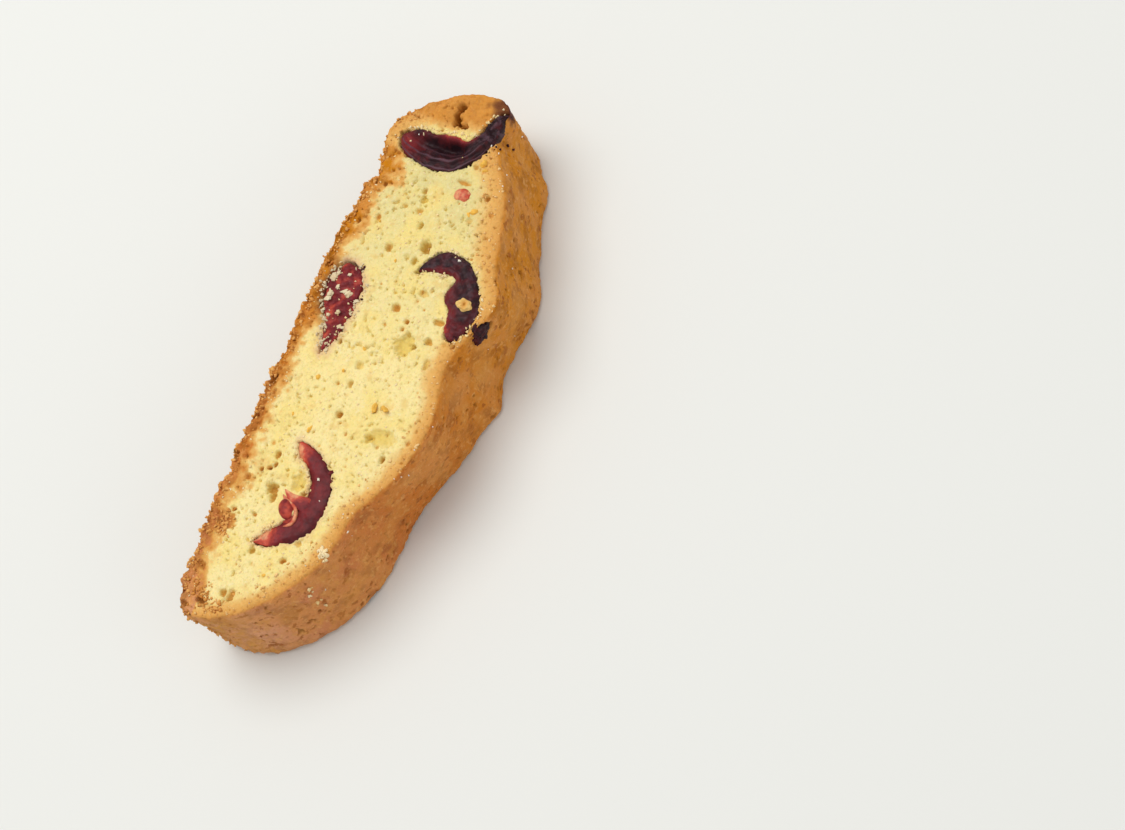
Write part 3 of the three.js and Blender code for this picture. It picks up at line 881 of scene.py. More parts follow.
def biscuit_material(settings):
    """Pale crumb that turns through toast to crust, with painted shade in its hollows, pores, crags and
    crevices, and painted shade on the crumb toward the far end.
    """
    material, sheet, surface, place = new_material(BAKED_MATERIAL)
    toast, hollow_shade, blush = [sheet.attribute(name) for name in ("toast", "hollow_shade", "blush")]

    def patched(colour, *patches):
        """A colour with patches over it: scale, where their clouds start and fill, share, tint, blend."""
        for scale, low, high, share, tint, *blend in patches:
            mask = sheet.maths("MULTIPLY", sheet.clouds(place, scale, low, high), share)
            colour = sheet.mix(mask, colour, opaque(tint), *blend)
        return colour

    along = sheet.add("ShaderNodeSeparateXYZ", inputs={"Vector": place}).outputs["X"]
    half_length = HALF_LENGTH * MILLIMETRE
    toward_near_end = sheet.spread(along, half_length, -half_length, "LINEAR")
    # The crumb's ramp paints shade on it toward the far end.
    crumb = patched(
        sheet.ramp(toward_near_end, [(0.18, FAR_CRUMB_SHADE), (0.5, settings.crumb_colour)]),
        (160.0, 0.4, 0.68, 0.8, settings.yolk_colour),
        (2000.0, 0.5, 0.72, 0.5, shade(settings.yolk_colour, 0.72)),
        (1200.0, 0.55, 0.75, 0.5, settings.pale_colour),
        (420.0, 0.56, 0.72, 0.5, TAN_GRAIN))
    crumb = sheet.mix(sheet.maths("MULTIPLY", blush, 0.55), crumb, opaque(STAINED_CRUMB))
    crust = patched(
        sheet.ramp(toward_near_end, [
            (0.3, settings.crust_colour), (1.0, TIP_CRUST), (0.7, settings.dull_crust_colour),
            (0.92, NEAR_CRUST)]),
        (130.0, 0.45, 0.62, 0.6, RUDDY_CRUST),
        (290.0, 0.47, 0.64, 0.75, DULLING, "MULTIPLY"),
        (420.0, 0.52, 0.66, 0.5, settings.toast_colour),
        (700.0, 0.57, 0.66, 0.75, DARK_SPECK),
        (1200.0, 0.54, 0.7, 0.45, LIGHT_SPECK))
    lightly = sheet.ramp(toast, [(0.0, FAINT_TOAST), (0.75, settings.toast_colour), (0.36, GOLDEN_TOAST)])
    browned = patched(
        sheet.mix(sheet.spread(toast, 0.6, 0.95), lightly, crust),
        (1500.0, 0.5, 0.8, 0.35, shade(settings.crust_colour, 0.6)))
    colour = sheet.mix(sheet.spread(toast, 0.02, 0.4), crumb, browned)
    # Painted shade in the hollows, from shaded crumb through shaded toast to shaded crust.
    shadowed = sheet.ramp(toast, [
        (0.0, CRUMB_HOLLOW_SHADE), (1.0, shade(settings.crust_colour, 0.36)), (0.45, TOAST_HOLLOW_SHADE)])
    colour = sheet.mix(sheet.maths("MULTIPLY", hollow_shade, 0.7), colour, shadowed)
    smeared = sheet.maths("MULTIPLY", blush, sheet.maths("MULTIPLY", toast, 1.15))
    colour = sheet.mix(smeared, colour, opaque(BERRY_SMEAR))
    roughness = sheet.add("ShaderNodeMapRange", inputs={
        "Value": sheet.attribute("crust"), "To Min": 0.95, "To Max": 0.6}).outputs[0]
    finish_surface(sheet, surface, place, colour, roughness, 0.14, (2200.0, 0.9, 0.0003))
    let_light_in(surface, 0.1, (1.0, 0.55, 0.2))
    return material


def berry_material(settings):
    """Dried berry: dark wrinkled skin that turns to red and to thin bright flesh, with a painted mauve sheen
    on the ridges of the skin.
    """
    material, sheet, surface, place = new_material(BERRY_MATERIAL)
    clouds = sheet.maths("SUBTRACT", sheet.clouds(place, 700.0, 0.3, 0.75), 0.5)
    varied = sheet.maths("ADD", sheet.attribute("flesh"), sheet.maths("MULTIPLY", clouds, 0.2))
    middle = tuple(0.5 * (a + b) for a, b in zip(settings.skin_colour, settings.flesh_colour))
    colour = sheet.ramp(varied, [
        (0.0, settings.skin_colour), (1.0, settings.edge_colour), (0.28, middle),
        (0.58, settings.flesh_colour), (0.84, settings.cut_colour)])
    streaks = sheet.maths("MULTIPLY", sheet.clouds(place, 2200.0, 0.45, 0.7), 0.25)
    colour = sheet.mix(streaks, colour, opaque(settings.skin_colour))
    # Painted sheen on the ridges and folds of the dark skin that stand out.
    sheen_share = sheet.maths("MULTIPLY", sheet.attribute("ridge_sheen"), 0.8)
    colour = sheet.mix(sheen_share, colour, opaque(settings.ridge_sheen_colour))
    finish_surface(sheet, surface, place, colour, 0.42, 0.12, (1800.0, 0.4, 0.0001))
    let_light_in(surface, 0.15, (1.0, 0.25, 0.15))
    return material


def plain_grain_material(name, light, dark, roughness=0.9):
    """Loose grains of one stuff, each a little lighter or darker."""
    material, sheet, surface, place = new_material(name)
    colour = sheet.mix(sheet.clouds(place, 420.0, 0.35, 0.65), opaque(light), opaque(dark))
    finish_surface(sheet, surface, place, colour, roughness, 0.3, (2600.0, 0.4, 0.0001))
    return material


def bump_at(along, across, middle, reach):
    """A soft bump round one place of a berry, given along and across it."""
    return hump(along - middle[0], reach[0]) * hump(across - middle[1], reach[1])


def skin_waves(across, spots):
    """Long and short waves across the far berry's skin, which run along it."""
    waver = noise_at(spots, 2.2, 8.0)
    return np.sin(13.0 * across + 2.4 * waver), np.sin(27.0 * across + 4.0 * waver)


def skin_folds(spots, size):
    return rough_at(spots * (1.0, 1.0, 0.5), size, 3, 2.0)


def berry_relief(name, along, across, spots, wrinkle):
    """How far the top of a berry's skin stands above its smooth crown, in millimetres."""
    folds = wrinkle * skin_folds(spots, 1.5)
    broad = wrinkle * 1.2 * noise_at(spots, 2.6, 5.0)
    if name == "berry_far_end":
        long_waves, short_waves = skin_waves(across, spots)
        ridges = (0.13 * long_waves + 0.09 * short_waves) * smooth_step(0.3, -0.1, across)
        pit = bump_at(along, across, (0.41, 0.25), (0.15, 0.34))
        pit += 0.4 * bump_at(along, across, (0.2, 0.1), (0.06, 0.4))
        arm = smooth_step(0.62, 0.7, along)
        return (1 - arm) * (ridges - 3.2 * pit) + folds * (0.7 + 1.4 * arm) + broad
    if name == "berry_middle":
        crease = 0.35 * bump_at(along, across, (0.45, -0.1), (0.2, 0.16))
        return (0.6 + 0.9 * smooth_step(0.72, 0.85, along)) * folds + broad - crease
    if name == "berry_near_end":
        return 0.35 * folds + 0.8 * broad - 0.35 * smooth_step(0.2, 1.0, across)
    return 1.3 * folds + broad


def berry_flesh(name, along, across, spots):
    """How bright the flesh is: 0 is dark skin, 1 is thin bright flesh."""
    ends = np.abs(2 * along - 1)
    patch = noise_at(spots, 1.3, 3.0)
    if name == "berry_near_end":
        inner = smooth_step(-0.3, 1.0, across)
        tips = np.maximum(smooth_step(0.5, 0.85, ends), smooth_step(0.27, 0.08, along))
        outer = smooth_step(0.1, -1.0, across) * (1 - tips)
        return 0.38 + 0.44 * tips + 0.1 * inner + 0.3 * inner * tips - 0.12 * outer + 0.1 * patch
    if name == "berry_far_end":
        lip = bump_at(along, across, (0.47, 1.0), (0.2, 0.36))
        left = bump_at(along, across, (0.1, -0.3), (0.11, 0.9))
        # Painted shade: the far berry's pit is painted darker.
        pit = bump_at(along, across, (0.4, 0.3), (0.13, 0.3))
        return 0.02 + 0.85 * lip + 0.6 * left - 0.35 * pit + 0.1 * patch
    if name == "berry_middle":
        inner = smooth_step(0.0, -1.1, across)
        return 0.05 + 0.42 * inner + 0.3 * smooth_step(0.68, 0.9, along) + 0.1 * patch
    return 0.56 + 0.1 * smooth_step(-0.4, 0.9, across) + 0.34 * patch


def berry_ridge_sheen(name, along, across, spots):
    """Where a mauve painted sheen lies on the dark skin: a painted highlight on the ridges and folds that
    stand out.
    """
    folds = smooth_step(0.0, 0.5, skin_folds(spots, 1.0))
    if name == "berry_far_end":
        long_waves, short_waves = skin_waves(across, spots)
        ridges = smooth_step(0.2, 0.95, 0.6 * long_waves + 0.5 * short_waves)
        body = smooth_step(0.35, -0.2, across) * smooth_step(0.72, 0.6, along)
        return ridges * body + 0.7 * folds * smooth_step(0.6, 0.72, along)
    return (0.35 if name == "berry_middle" else 0.1) * folds


def berry_form(name, stations, wrinkle):
    """A berry's body along its stations, closed at both ends, with folds in its skin."""
    seed = stations[0][0]

    def place(around, along):
        rows = smooth_curve(stations, along)
        left = left_of(smooth_curve(stations, along + 0.012) - smooth_curve(stations, along - 0.012))
        across, upright = np.cos(2 * math.pi * around), np.sin(2 * math.pi * around)
        taper = end_taper(along)
        half = np.where(across > 0, rows[:, 2], rows[:, 3]) * taper
        middle = np.stack([rows[:, 0], rows[:, 1], 2.0 * upright + seed], axis=1)
        half = half * (1 + 0.10 * noise_at(middle + across[:, None], 2.1) + 0.05 * noise_at(middle, 0.8))
        spread = np.sign(across) * np.abs(across) ** 0.8 * half
        spots = np.column_stack([rows[:, :2] + left * spread[:, None], 3 * upright])
        crown = BERRY_CROWN[name] * np.abs(upright) ** 0.7 + berry_relief(name, along, across, spots, wrinkle)
        belly = (rows[:, 4] - BERRY_FACE_SINK) * upright
        rise = np.where(upright > 0, crown * np.minimum(1.0, 3 * np.abs(upright)), belly) * taper
        dip = BERRY_END_DIP.get(name, 0.0) * smooth_step(0.84, 1.0, along)
        spots[:, 2] = THICKNESS - BERRY_FACE_SINK + rise - dip
        return spots

    return wrapped_grid(BERRY_COLUMNS, BERRY_ROWS, place)


def flesh_ridge(stations, columns, rows):
    """A thin ridge of flesh along stations of x, y, half width and height."""
    def place(around, along):
        line = smooth_curve(stations, along)
        left = left_of(smooth_curve(stations, along + 0.02) - smooth_curve(stations, along - 0.02))
        across, upright = np.cos(2 * math.pi * around), np.sin(2 * math.pi * around)
        taper = end_taper(along)
        spread = across * line[:, 2] * taper
        height = line[:, 3] + np.where(upright > 0, 0.2, 1.3) * upright * taper
        return np.column_stack([line[:, :2] + left * spread[:, None], height])

    return wrapped_grid(columns, rows, place)


def finish_flesh(piece, flesh, variation, patch, *nodes):
    """Finishes a small piece of berry. Its flesh varies in brightness, in patches of the given size."""
    spots = points_of(piece.data)
    store(piece.data, "flesh", np.clip(flesh + variation * noise_at(spots, patch), 0.0, 1.0))
    finish_model(piece, bpy.data.materials[BERRY_MATERIAL], "dried_berry", *nodes)


def lump_form(seed, detail, raggedness):
    """One uneven lump about 1 across, as its corners and triangles."""
    shape = bmesh.new()
    bmesh.ops.create_icosphere(shape, subdivisions=detail, radius=0.5)
    for vertex in shape.verts:
        vertex.co *= 1.0 + raggedness * noise.noise(vertex.co * 3.3 + Vector((seed, 0.3 * seed, 7.0)))
    corners = np.array([vertex.co[:] for vertex in shape.verts])
    triangles = np.array([[vertex.index for vertex in face.verts] for face in shape.faces])
    shape.free()
    return corners, triangles


def scattered_piece(name, placements, material, slot="biscuit", detail=2, raggedness=0.9, variants=7):
    """One finished mesh with an uneven lump at each placement."""
    lumps = [lump_form(3.7 * i + 1.0, detail, raggedness) for i in range(variants)]
    corners, triangles = [], []
    first = 0
    for i, place in enumerate(placements):
        shape, faces = lumps[i % variants]
        corners.append(shape @ np.array(place.to_3x3()).T + np.array(place.translation))
        triangles.append(faces + first)
        first += len(shape)
    mesh = bpy.data.meshes.new(name)
    mesh.from_pydata(np.vstack(corners), [], np.vstack(triangles).tolist())
    piece = linked_object(name, mesh)
    keep_above_floor(piece)
    finish_piece(piece, material, slot)
    return piece


def lump_at(draw, met, size, sink=0.25, flatness=0.75, tip=6.3):
    """A list with the placement of a lump, a little sunk in, where a surface was met. Empty where none was.

    The size in millimetres is fixed, or drawn from its smallest, its range and a power that favours small.
    """
    spot, normal = met
    if spot is None:
        return []
    if isinstance(size, tuple):
        smallest, spread, power = size
        size = smallest + spread * draw.random() ** power
    scale = size * MILLIMETRE
    turn = Euler((draw.uniform(0, tip), draw.uniform(0, tip), draw.uniform(0, 6.3))).to_matrix().to_4x4()
    sizes = Matrix.Diagonal((
        scale * draw.uniform(0.9, 1.5), scale * draw.uniform(0.7, 1.1),
        scale * flatness * draw.uniform(0.7, 1.1), 1.0))
    return [Matrix.Translation(spot + normal * scale * (0.5 - sink) * flatness) @ turn @ sizes]


class Surfaces:
    """Finds the outermost surface of the finished pieces along a ray."""

    def __init__(self, *names):
        graph = bpy.context.evaluated_depsgraph_get()
        self.trees = [BVHTree.FromObject(bpy.data.objects[name], graph) for name in names]

    def meet(self, start, direction):
        hits = [tree.ray_cast(start, direction) for tree in self.trees]
        hits = [hit for hit in hits if hit[0] is not None]
        if not hits:
            return None, None
        spot, normal, _, _ = min(hits, key=lambda hit: hit[3])
        return spot, normal

    def above(self, x, y):
        """The surface straight below a place over the upper cut face, given in millimetres."""
        return self.meet(in_row_frame((x, y, 3 * THICKNESS)), Vector((0, 0, -1)))

    def beside(self, i, ring_height, height):
        """The surface met at a height by a level ray that comes in toward a point of the outline."""
        ring = ring_at(ring_height)
        outward = outward_of(ring, i, 2)
        start = Vector((ring[i][0], ring[i][1], height)) + 12 * outward
        return self.meet(in_row_frame(start), -outward)


def scatter_above(draw, surfaces, count, spread, size, places):
    """Placements of lumps that fall near places of x, y on the upper cut face, at random."""
    placements = []
    for i in range(count):
        x, y = places[i % len(places)][:2]
        met = surfaces.above(x + draw.gauss(0, spread), y + draw.gauss(0, spread))
        placements += lump_at(draw, met, size)
    return placements


def berry_rims(name, reach, samples=60):
    """Places round the rim of a berry, reach half widths from its middle line."""
    rows = smooth_curve(BERRY_STATIONS[name], np.linspace(0.02, 0.98, samples))
    left = left_of(np.gradient(rows[:, :2], axis=0))
    sides = [rows[:, :2] + left * rows[:, 2:3] * reach, rows[:, :2] - left * rows[:, 3:4] * reach]
    return [tuple(place) for place in np.vstack(sides)]


class BISCOTTI_OT_slice(bpy.types.Operator):
    """Builds the slice with its crumb, pores, crags and crust"""
    bl_idname = "biscotti.slice"
    bl_label = "Slice"

    def execute(self, context):
        settings = context.scene.biscotti_slice
        piece = object_from(slice_form(), "slice_baked")
        remesh = piece.modifiers.new("cells", "REMESH")
        remesh.mode = "VOXEL"
        remesh.voxel_size = settings.cell / MILLIMETRE * 1.0
        apply_modifiers(piece)
        shape_slice(settings, piece.data)
        triangles = 2 * len(piece.data.polygons)
        if triangles > settings.triangles:
            thin = piece.modifiers.new("thin", "DECIMATE")
            thin.ratio = settings.triangles / triangles
            apply_modifiers(piece)
        keep_above_floor(piece)
        finish_model(piece, biscuit_material(settings), "biscuit", "slice")
        return {"FINISHED"}


class BISCOTTI_OT_cut_berries(bpy.types.Operator):
    """Builds the four dried berries that the knife cut through"""
    bl_idname = "biscotti.cut_berries"
    bl_label = "Cut berries"

    def execute(self, context):
        settings = context.scene.biscotti_berries
        material = berry_material(settings)
        wrinkle = settings.wrinkle / MILLIMETRE
        for name, stations in BERRY_STATIONS.items():
            piece = object_from(berry_form(name, stations, wrinkle), name + "_dried")
            spots = points_of(piece.data)
            along, across, _ = berry_place(spots, stations)
            store(piece.data, "flesh", np.clip(berry_flesh(name, along, across, spots), 0.0, 1.0))
            store(piece.data, "ridge_sheen", np.clip(berry_ridge_sheen(name, along, across, spots), 0.0, 1.0))
            finish_model(piece, material, "dried_berry", name)
        return {"FINISHED"}


class BISCOTTI_OT_seed(bpy.types.Operator):
    """Builds the seed in the near berry, with the spur and the thin wall of flesh beside it"""
    bl_idname = "biscotti.seed"
    bl_label = "Seed"

    def execute(self, context):
        for name, stations, tip, root, lit in (
                ("berry_seed_wall", SEED_WALL, 0.98, 0.95, 0.0), ("berry_spur", SEED_SPUR, 0.9, 0.42, 0.3)):
            ridge = object_from(flesh_ridge(stations, 28, 80), name)
            spots = points_of(ridge.data)
            rows = [(*station[:2], station[2], station[2]) for station in stations]
            along, across, _ = berry_place(spots, rows)
            flesh = tip + (root - tip) * smooth_step(0.3, 0.85, along) + lit * smooth_step(-0.2, 1.0, across)
            finish_flesh(ridge, flesh, 0.12, 1.2)

        for name, middle, sizes, flesh in (
                ("berry_seed", SEED, SEED_SIZES, 0.7), ("berry_seed_bed", SEED_BED, SEED_BED_SIZES, 0.72)):
            shape = bmesh.new()
            bmesh.ops.create_uvsphere(shape, u_segments=40, v_segments=24, radius=0.5)
            place = Matrix.Translation(middle) @ Euler((0, 0, SEED_TURN)).to_matrix().to_4x4()
            bmesh.ops.transform(shape, matrix=place @ Matrix.Diagonal((*sizes, 1.0)), verts=shape.verts)
            for vertex in shape.verts:
                vertex.co.z += 0.12 * noise.noise(vertex.co * 0.9)
            finish_flesh(object_from(shape, name), flesh, 0.25, 0.9)
        return {"FINISHED"}


class BISCOTTI_OT_berry_scraps(bpy.types.Operator):
    """Builds the scrap of berry in the crumb and the piece at the edge of the crust"""
    bl_idname = "biscotti.berry_scraps"
    bl_label = "Berry scraps"

    def execute(self, context):
        for name, (middle, sizes, flesh, rough) in SCRAPS.items():
            shape = bmesh.new()
            bmesh.ops.create_icosphere(shape, subdivisions=5, radius=0.5)
            for vertex in shape.verts:
                uneven = noise.fractal(vertex.co * 3.4 + Vector((sizes[0], 0, 0)), 0.8, 2.0, 3)
                vertex.co *= 1.0 + rough * uneven
            turned = Matrix.Translation(middle) @ Matrix.Diagonal((*sizes, 1.0))
            bmesh.ops.transform(shape, matrix=turned, verts=shape.verts)
            finish_flesh(object_from(shape, name + "_dried"), flesh, 0.12, 0.8, name)
        return {"FINISHED"}


class BISCOTTI_OT_pale_crumbs(bpy.types.Operator):
    """Scatters pale crumbs on the cut faces, round the berries and on the berry beside the loaf base"""
    bl_idname = "biscotti.pale_crumbs"
    bl_label = "Pale crumbs"

    def execute(self, context):
        settings = context.scene.biscotti_grains
        draw = random.Random(SEEDS["pale"])
        surfaces = Surfaces("slice_baked", *DRIED_BERRIES)
        placements = []
        for name, count in (("berry_far_end", 60), ("berry_middle", 80), ("berry_near_end", 60)):
            placements += scatter_above(draw, surfaces, count, 0.25, (0.22, 0.38, 2), berry_rims(name, 1.12))
        placements += scatter_above(draw, surfaces, 40, 0.4, (0.3, 0.7, 2), CRUMB_CLUSTER)
        crust_rim = UPPER_RING[HALF_RING_POINTS:]
        for _ in range(settings.crumbs):
            x, y = draw.uniform(-HALF_LENGTH, HALF_LENGTH - 8), draw.uniform(-17, 17)
            met = surfaces.above(x, y)
            on_toast = np.hypot(crust_rim[:, 0] - x, crust_rim[:, 1] - y).min() < 3.5
            if met[0] is not None and met[1].z > 0.6 and not on_toast:
                placements += lump_at(draw, met, (0.18, 0.24, 1), sink=0.45)
        placements = [place for place in placements if not self.on_dark_skin(place.translation, draw)]
        scattered_piece("pale_crumbs", placements, plain_grain_material("pale_crumb", *PALE_CRUMB))
        chunks = []
        for x, y, length in BERRY_CHUNKS:
            chunks += lump_at(draw, surfaces.above(x, y), length, sink=0.15, flatness=0.5, tip=0.3)
        for count, spread, size, reach in ((150, 0.35, (0.2, 0.4, 2), 1.08), (26, 0.7, (0.2, 0.3, 2), 0.7)):
            rims = berry_rims("berry_base_side", reach)
            chunks += scatter_above(draw, surfaces, count, spread, size, rims)
        beige = plain_grain_material("crumb_chunk", *BEIGE_CRUMB)
        scattered_piece("crumb_chunks", chunks, beige, detail=3, raggedness=0.8)
        return {"FINISHED"}

    @staticmethod
    def on_dark_skin(spot, draw):
        """Whether a crumb lies on the seed or well inside a clean berry, where only a few are kept."""
        spots = np.array([spot / MILLIMETRE - ORIGIN_SHIFT])
        if np.hypot(spots[0, 0] - SEED[0], spots[0, 1] - SEED[1]) < 2.8:
            return True
        clean = ("berry_far_end", "berry_middle", "berry_near_end")
        inside = any(berry_place(spots, BERRY_STATIONS[name], 60)[2][0] < -0.3 for name in clean)
        return inside and draw.random() > 0.06


class BISCOTTI_OT_toasted_crumbs(bpy.types.Operator):
    """Scatters toasted crumbs over the loaf base and its rims"""
    bl_idname = "biscotti.toasted_crumbs"
    bl_label = "Toasted crumbs"

    def execute(self, context):
        settings = context.scene.biscotti_grains
        draw = random.Random(SEEDS["toasted"])
        surfaces = Surfaces("slice_baked")
        base = (int(0.13 * HALF_RING_POINTS), HALF_RING_POINTS)
        placements = []
        for _ in range(settings.toasted):
            height = THICKNESS * draw.random()
            i = draw.randrange(*base)
            met = surfaces.beside(i, height, min(max(height, 0.5), THICKNESS - 0.4))
            placements += lump_at(draw, met, (0.25, 0.6, 2), sink=0.3)
        for _ in range(settings.toasted // 3):
            x, y = UPPER_RING[draw.randrange(*base)] * (1 - 0.1 * draw.random() ** 1.5)
            placements += lump_at(draw, surfaces.above(x, y), (0.25, 0.5, 2), sink=0.3)
        placements += scatter_above(draw, surfaces, 150, 0.9, (0.25, 0.55, 2), TOASTED_PATCHES)
        placements = [place for place in placements if place.translation.z > 0.5 * MILLIMETRE]
        scattered_piece("toasted_crumbs", placements, plain_grain_material("toasted_crumb", *TOASTED_CRUMB))
        return {"FINISHED"}


class BISCOTTI_OT_rim_crumbs(bpy.types.Operator):
    """Scatters lightly toasted crumbs along the rim between the upper cut face and the crust"""
    bl_idname = "biscotti.rim_crumbs"
    bl_label = "Rim crumbs"

    def execute(self, context):
        settings = context.scene.biscotti_grains
        draw = random.Random(SEEDS["rim"])
        surfaces = Surfaces("slice_baked")
        placements = []
        for _ in range(settings.rim):
            i = draw.randrange(HALF_RING_POINTS, 2 * HALF_RING_POINTS)
            inward = -np.array(outward_of(UPPER_RING, i, 2).xy)
            x, y = UPPER_RING[i] + inward * (0.5 + 3.4 * draw.random() ** 1.6)
            if x < CRACK_START:
                placements += lump_at(draw, surfaces.above(x, y), (0.18, 0.4, 2), sink=0.4)
        light = plain_grain_material("lightly_toasted_crumb", *LIGHTLY_TOASTED_CRUMB)
        scattered_piece("rim_crumbs", placements, light)
        return {"FINISHED"}


class BISCOTTI_OT_sugar(bpy.types.Operator):
    """Scatters grains of sugar on the crust and its rim, and a few white grains on the berries as painted
    highlights
    """
    bl_idname = "biscotti.sugar"
    bl_label = "Sugar"

    def execute(self, context):
        settings = context.scene.biscotti_grains
        draw = random.Random(SEEDS["sugar"])
        surfaces = Surfaces("slice_baked", *DRIED_BERRIES)
        placements = []
        for _ in range(settings.sugar):
            height = THICKNESS * (1 - draw.random() ** 3)
            i = draw.randrange(HALF_RING_POINTS, 2 * HALF_RING_POINTS)
            met = surfaces.beside(i, height, max(height, 0.5))
            placements += lump_at(draw, met, (0.14, 0.18, 1), sink=0.3)
        # Painted highlights: white grains on the berries' skins.
        for x, y, size in BERRY_HIGHLIGHT_GRAINS:
            placements += lump_at(draw, surfaces.above(x, y), size, sink=0.15)
        sugar = plain_grain_material("sugar", settings.sugar_colour, DULL_SUGAR, 0.35)
        scattered_piece("sugar_grains", placements, sugar)
        return {"FINISHED"}


class BISCOTTI_OT_zest(bpy.types.Operator):
    """Sets flecks of orange zest in the upper cut face"""
    bl_idname = "biscotti.zest"
    bl_label = "Zest"

    def execute(self, context):
        settings = context.scene.biscotti_grains
        draw = random.Random(SEEDS["zest"])
        surfaces = Surfaces("slice_baked")
        placements = []
        for x, y, size in ZEST_FLECKS:
            placements += lump_at(draw, surfaces.above(x, y), size, sink=0.42, flatness=0.5)
        zest = plain_grain_material("zest", settings.zest_colour, shade(settings.zest_colour, 0.8), 0.6)
        scattered_piece("zest_flecks", placements, zest, detail=3, raggedness=0.5)
        return {"FINISHED"}


class BISCOTTI_OT_skin_bits(bpy.types.Operator):
    """Scatters small bits of dark skin round the berries"""
    bl_idname = "biscotti.skin_bits"
    bl_label = "Skin bits"

    def execute(self, context):
        draw = random.Random(SEEDS["skin"])
        surfaces = Surfaces("slice_baked", *DRIED_BERRIES)
        placements = scatter_above(draw, surfaces, 26, 0.35, (0.25, 0.45, 2), SKIN_BITS)
        skin = bpy.data.materials[BERRY_MATERIAL]
        piece = scattered_piece("skin_bits", placements, skin, "dried_berry")
        store(piece.data, "flesh", np.where(points_of(piece.data)[:, 0] < 0.0, 0.36, 0.12))
        return {"FINISHED"}


class BISCOTTI_OT_chip(bpy.types.Operator):
    """Builds the golden chip of crumb that lies on the middle berry"""
    bl_idname = "biscotti.chip"
    bl_label = "Chip"

    def execute(self, context):
        surfaces = Surfaces("slice_baked", "berry_middle_dried")
        spot, normal = surfaces.above(*CHIP_PLACE)
        shape = bmesh.new()
        bmesh.ops.create_icosphere(shape, subdivisions=5, radius=0.5)
        slit = []
        for vertex in shape.verts:
            middle = Vector((vertex.co.x * 0.8, vertex.co.y * 1.7, 0.0)).length
            slit.append(float(hump(middle, 0.24)) * (vertex.co.z > 0))
            lumpy = 0.3 * noise.noise(vertex.co * 3.0 + Vector((9.0, 2.0, 1.0)))
            vertex.co *= 1.0 + lumpy - 0.5 * slit[-1]
        bmesh.ops.scale(shape, verts=shape.verts, vec=CHIP_SIZES)
        piece = object_from(shape, "golden_chip")
        tilt = Vector((0, 0, 1)).rotation_difference(normal).to_matrix().to_4x4()
        lift = Matrix.Translation(spot + normal * 0.2 * MILLIMETRE)
        piece.data.transform(lift @ tilt @ Matrix.Scale(MILLIMETRE, 4))
        # Painted shade in the chip's slit: darkened through the hollow shade mask and made browner through
        # its toast.
        store(piece.data, "hollow_shade", slit)
        store(piece.data, "toast", 0.3 + 0.6 * np.array(slit))
        finish_piece(piece, bpy.data.materials[BAKED_MATERIAL], "biscuit")
        return {"FINISHED"}


class BISCOTTI_OT_stage(bpy.types.Operator):
    """Sets up the plain pale floor, the soft lights and the camera"""
    bl_idname = "biscotti.stage"
    bl_label = "Stage"

    def execute(self, context):
        settings = context.scene.biscotti_stage
        shape = bmesh.new()
        bmesh.ops.create_grid(shape, x_segments=1, y_segments=1, size=FLOOR_HALF_WIDTH)
        bmesh.ops.translate(shape, verts=shape.verts, vec=(0.0, 0.0, -FLOOR_DROP))
        floor = object_from(shape, "floor")
        material, _, surface, _ = new_material("pale_floor")
        surface.inputs["Base Color"].default_value = opaque(settings.floor_colour)
        surface.inputs["Roughness"].default_value = 0.6
        surface.inputs["Specular IOR Level"].default_value = 0.2
        floor.data.materials.append(material)

        right, up, back, place = camera_axes(settings)
        key_from = (-0.75 * right + 0.75 * up + 0.95 * back).normalized()
        self.add_light(context, "key_light", key_from, 0.75, settings.key_power, (1.0, 0.985, 0.95))
        fill_from = (0.9 * right - 0.3 * up + 0.8 * back).normalized()
        self.add_light(context, "fill_light", fill_from, 0.9, settings.fill_power, (1.0, 0.99, 0.97))

        world = context.scene.world or bpy.data.worlds.new("even_light")
        context.scene.world = world
        world.use_nodes = True
        background = world.node_tree.nodes["Background"]
        background.inputs["Color"].default_value = (1.0, 0.995, 0.98, 1.0)
        background.inputs["Strength"].default_value = settings.sky_strength
        context.scene.view_settings.view_transform = "Standard"

        lens = bpy.data.cameras.new("camera")
        lens.sensor_fit = "HORIZONTAL"
        lens.angle = settings.field_of_view
        lens.clip_start, lens.clip_end = 0.01, 20.0
        camera = bpy.data.objects.new("camera", lens)
        turned = Matrix((right, up, back)).transposed().to_4x4()
        camera.matrix_world = Matrix.Translation(place) @ turned
        context.scene.collection.objects.link(camera)
        context.scene.camera = camera
        return {"FINISHED"}

    @staticmethod
    def add_light(context, name, direction, size, power, colour):
        lamp = bpy.data.lights.new(name, "AREA")
        lamp.shape = "DISK"
        lamp.size = size
        lamp.energy = power
        lamp.color = colour
        light = bpy.data.objects.new(name, lamp)
        light.location = direction * LIGHT_DISTANCE
        light.rotation_mode = "QUATERNION"
        light.rotation_quaternion = direction.to_track_quat("Z", "Y")
        context.scene.collection.objects.link(light)


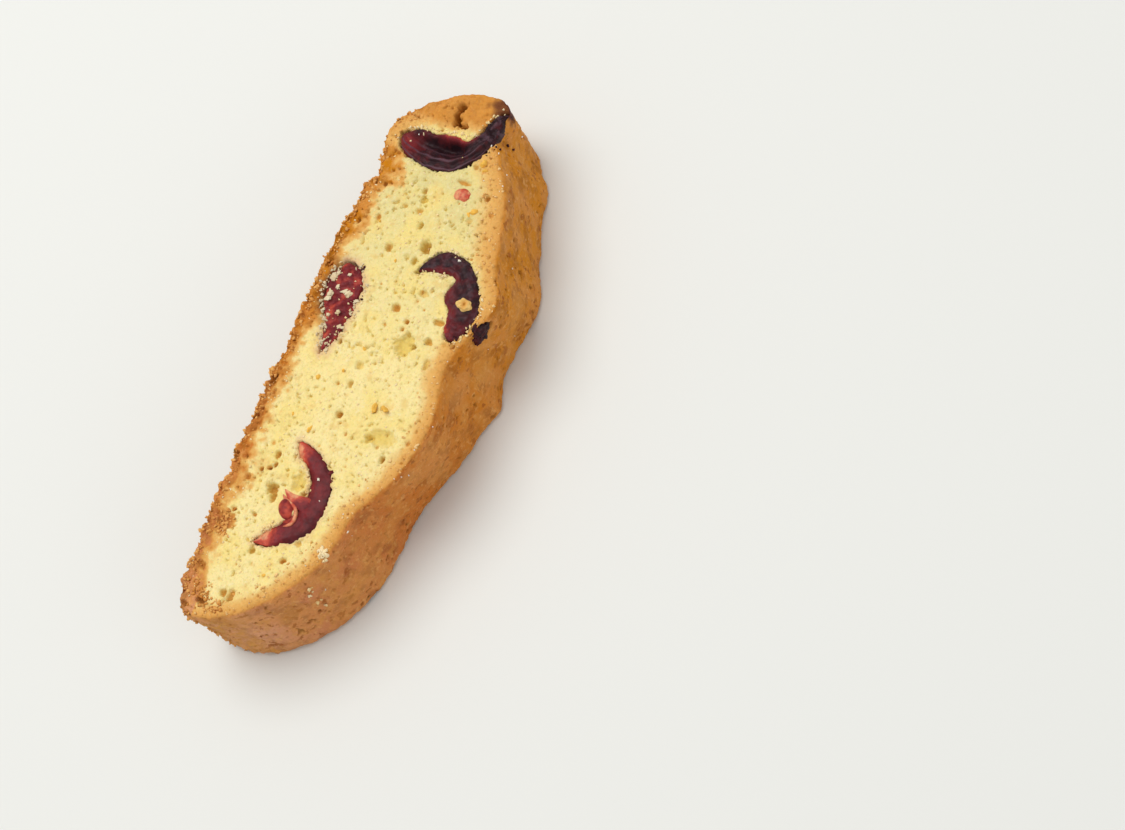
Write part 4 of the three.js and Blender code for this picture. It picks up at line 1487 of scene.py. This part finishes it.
class BISCOTTI_PT_panel(bpy.types.Panel):
    """Lists the pieces of the biscotti in the order in which they are built"""
    bl_label = "Biscotti"
    bl_idname = "BISCOTTI_PT_panel"
    bl_space_type = "VIEW_3D"
    bl_region_type = "UI"
    bl_category = "Biscotti"

    def draw(self, context):
        for operator in OPERATORS:
            self.layout.operator(operator.bl_idname)


SETTINGS = {
    "biscotti_slice": BiscottiSliceSettings,
    "biscotti_berries": BiscottiBerrySettings,
    "biscotti_grains": BiscottiGrainSettings,
    "biscotti_stage": BiscottiStageSettings,
}
OPERATORS = (
    BISCOTTI_OT_slice,
    BISCOTTI_OT_cut_berries,
    BISCOTTI_OT_seed,
    BISCOTTI_OT_berry_scraps,
    BISCOTTI_OT_pale_crumbs,
    BISCOTTI_OT_toasted_crumbs,
    BISCOTTI_OT_rim_crumbs,
    BISCOTTI_OT_sugar,
    BISCOTTI_OT_zest,
    BISCOTTI_OT_skin_bits,
    BISCOTTI_OT_chip,
    BISCOTTI_OT_stage,
)


def register():
    for kind in (*SETTINGS.values(), *OPERATORS, BISCOTTI_PT_panel):
        bpy.utils.register_class(kind)
    for name, kind in SETTINGS.items():
        setattr(bpy.types.Scene, name, bpy.props.PointerProperty(type=kind))


def unregister():
    for name in SETTINGS:
        delattr(bpy.types.Scene, name)
    for kind in (BISCOTTI_PT_panel, *reversed(OPERATORS), *SETTINGS.values()):
        bpy.utils.unregister_class(kind)


def main():
    for leftover in ("Cube", "Light", "Camera"):
        if leftover in bpy.data.objects:
            bpy.data.objects.remove(bpy.data.objects[leftover])
    register()
    bpy.ops.biscotti.slice()
    bpy.ops.biscotti.cut_berries()
    bpy.ops.biscotti.seed()
    bpy.ops.biscotti.berry_scraps()
    bpy.ops.biscotti.pale_crumbs()
    bpy.ops.biscotti.toasted_crumbs()
    bpy.ops.biscotti.rim_crumbs()
    bpy.ops.biscotti.sugar()
    bpy.ops.biscotti.zest()
    bpy.ops.biscotti.skin_bits()
    bpy.ops.biscotti.chip()
    bpy.ops.biscotti.stage()


if __name__ == "__main__":
    main()
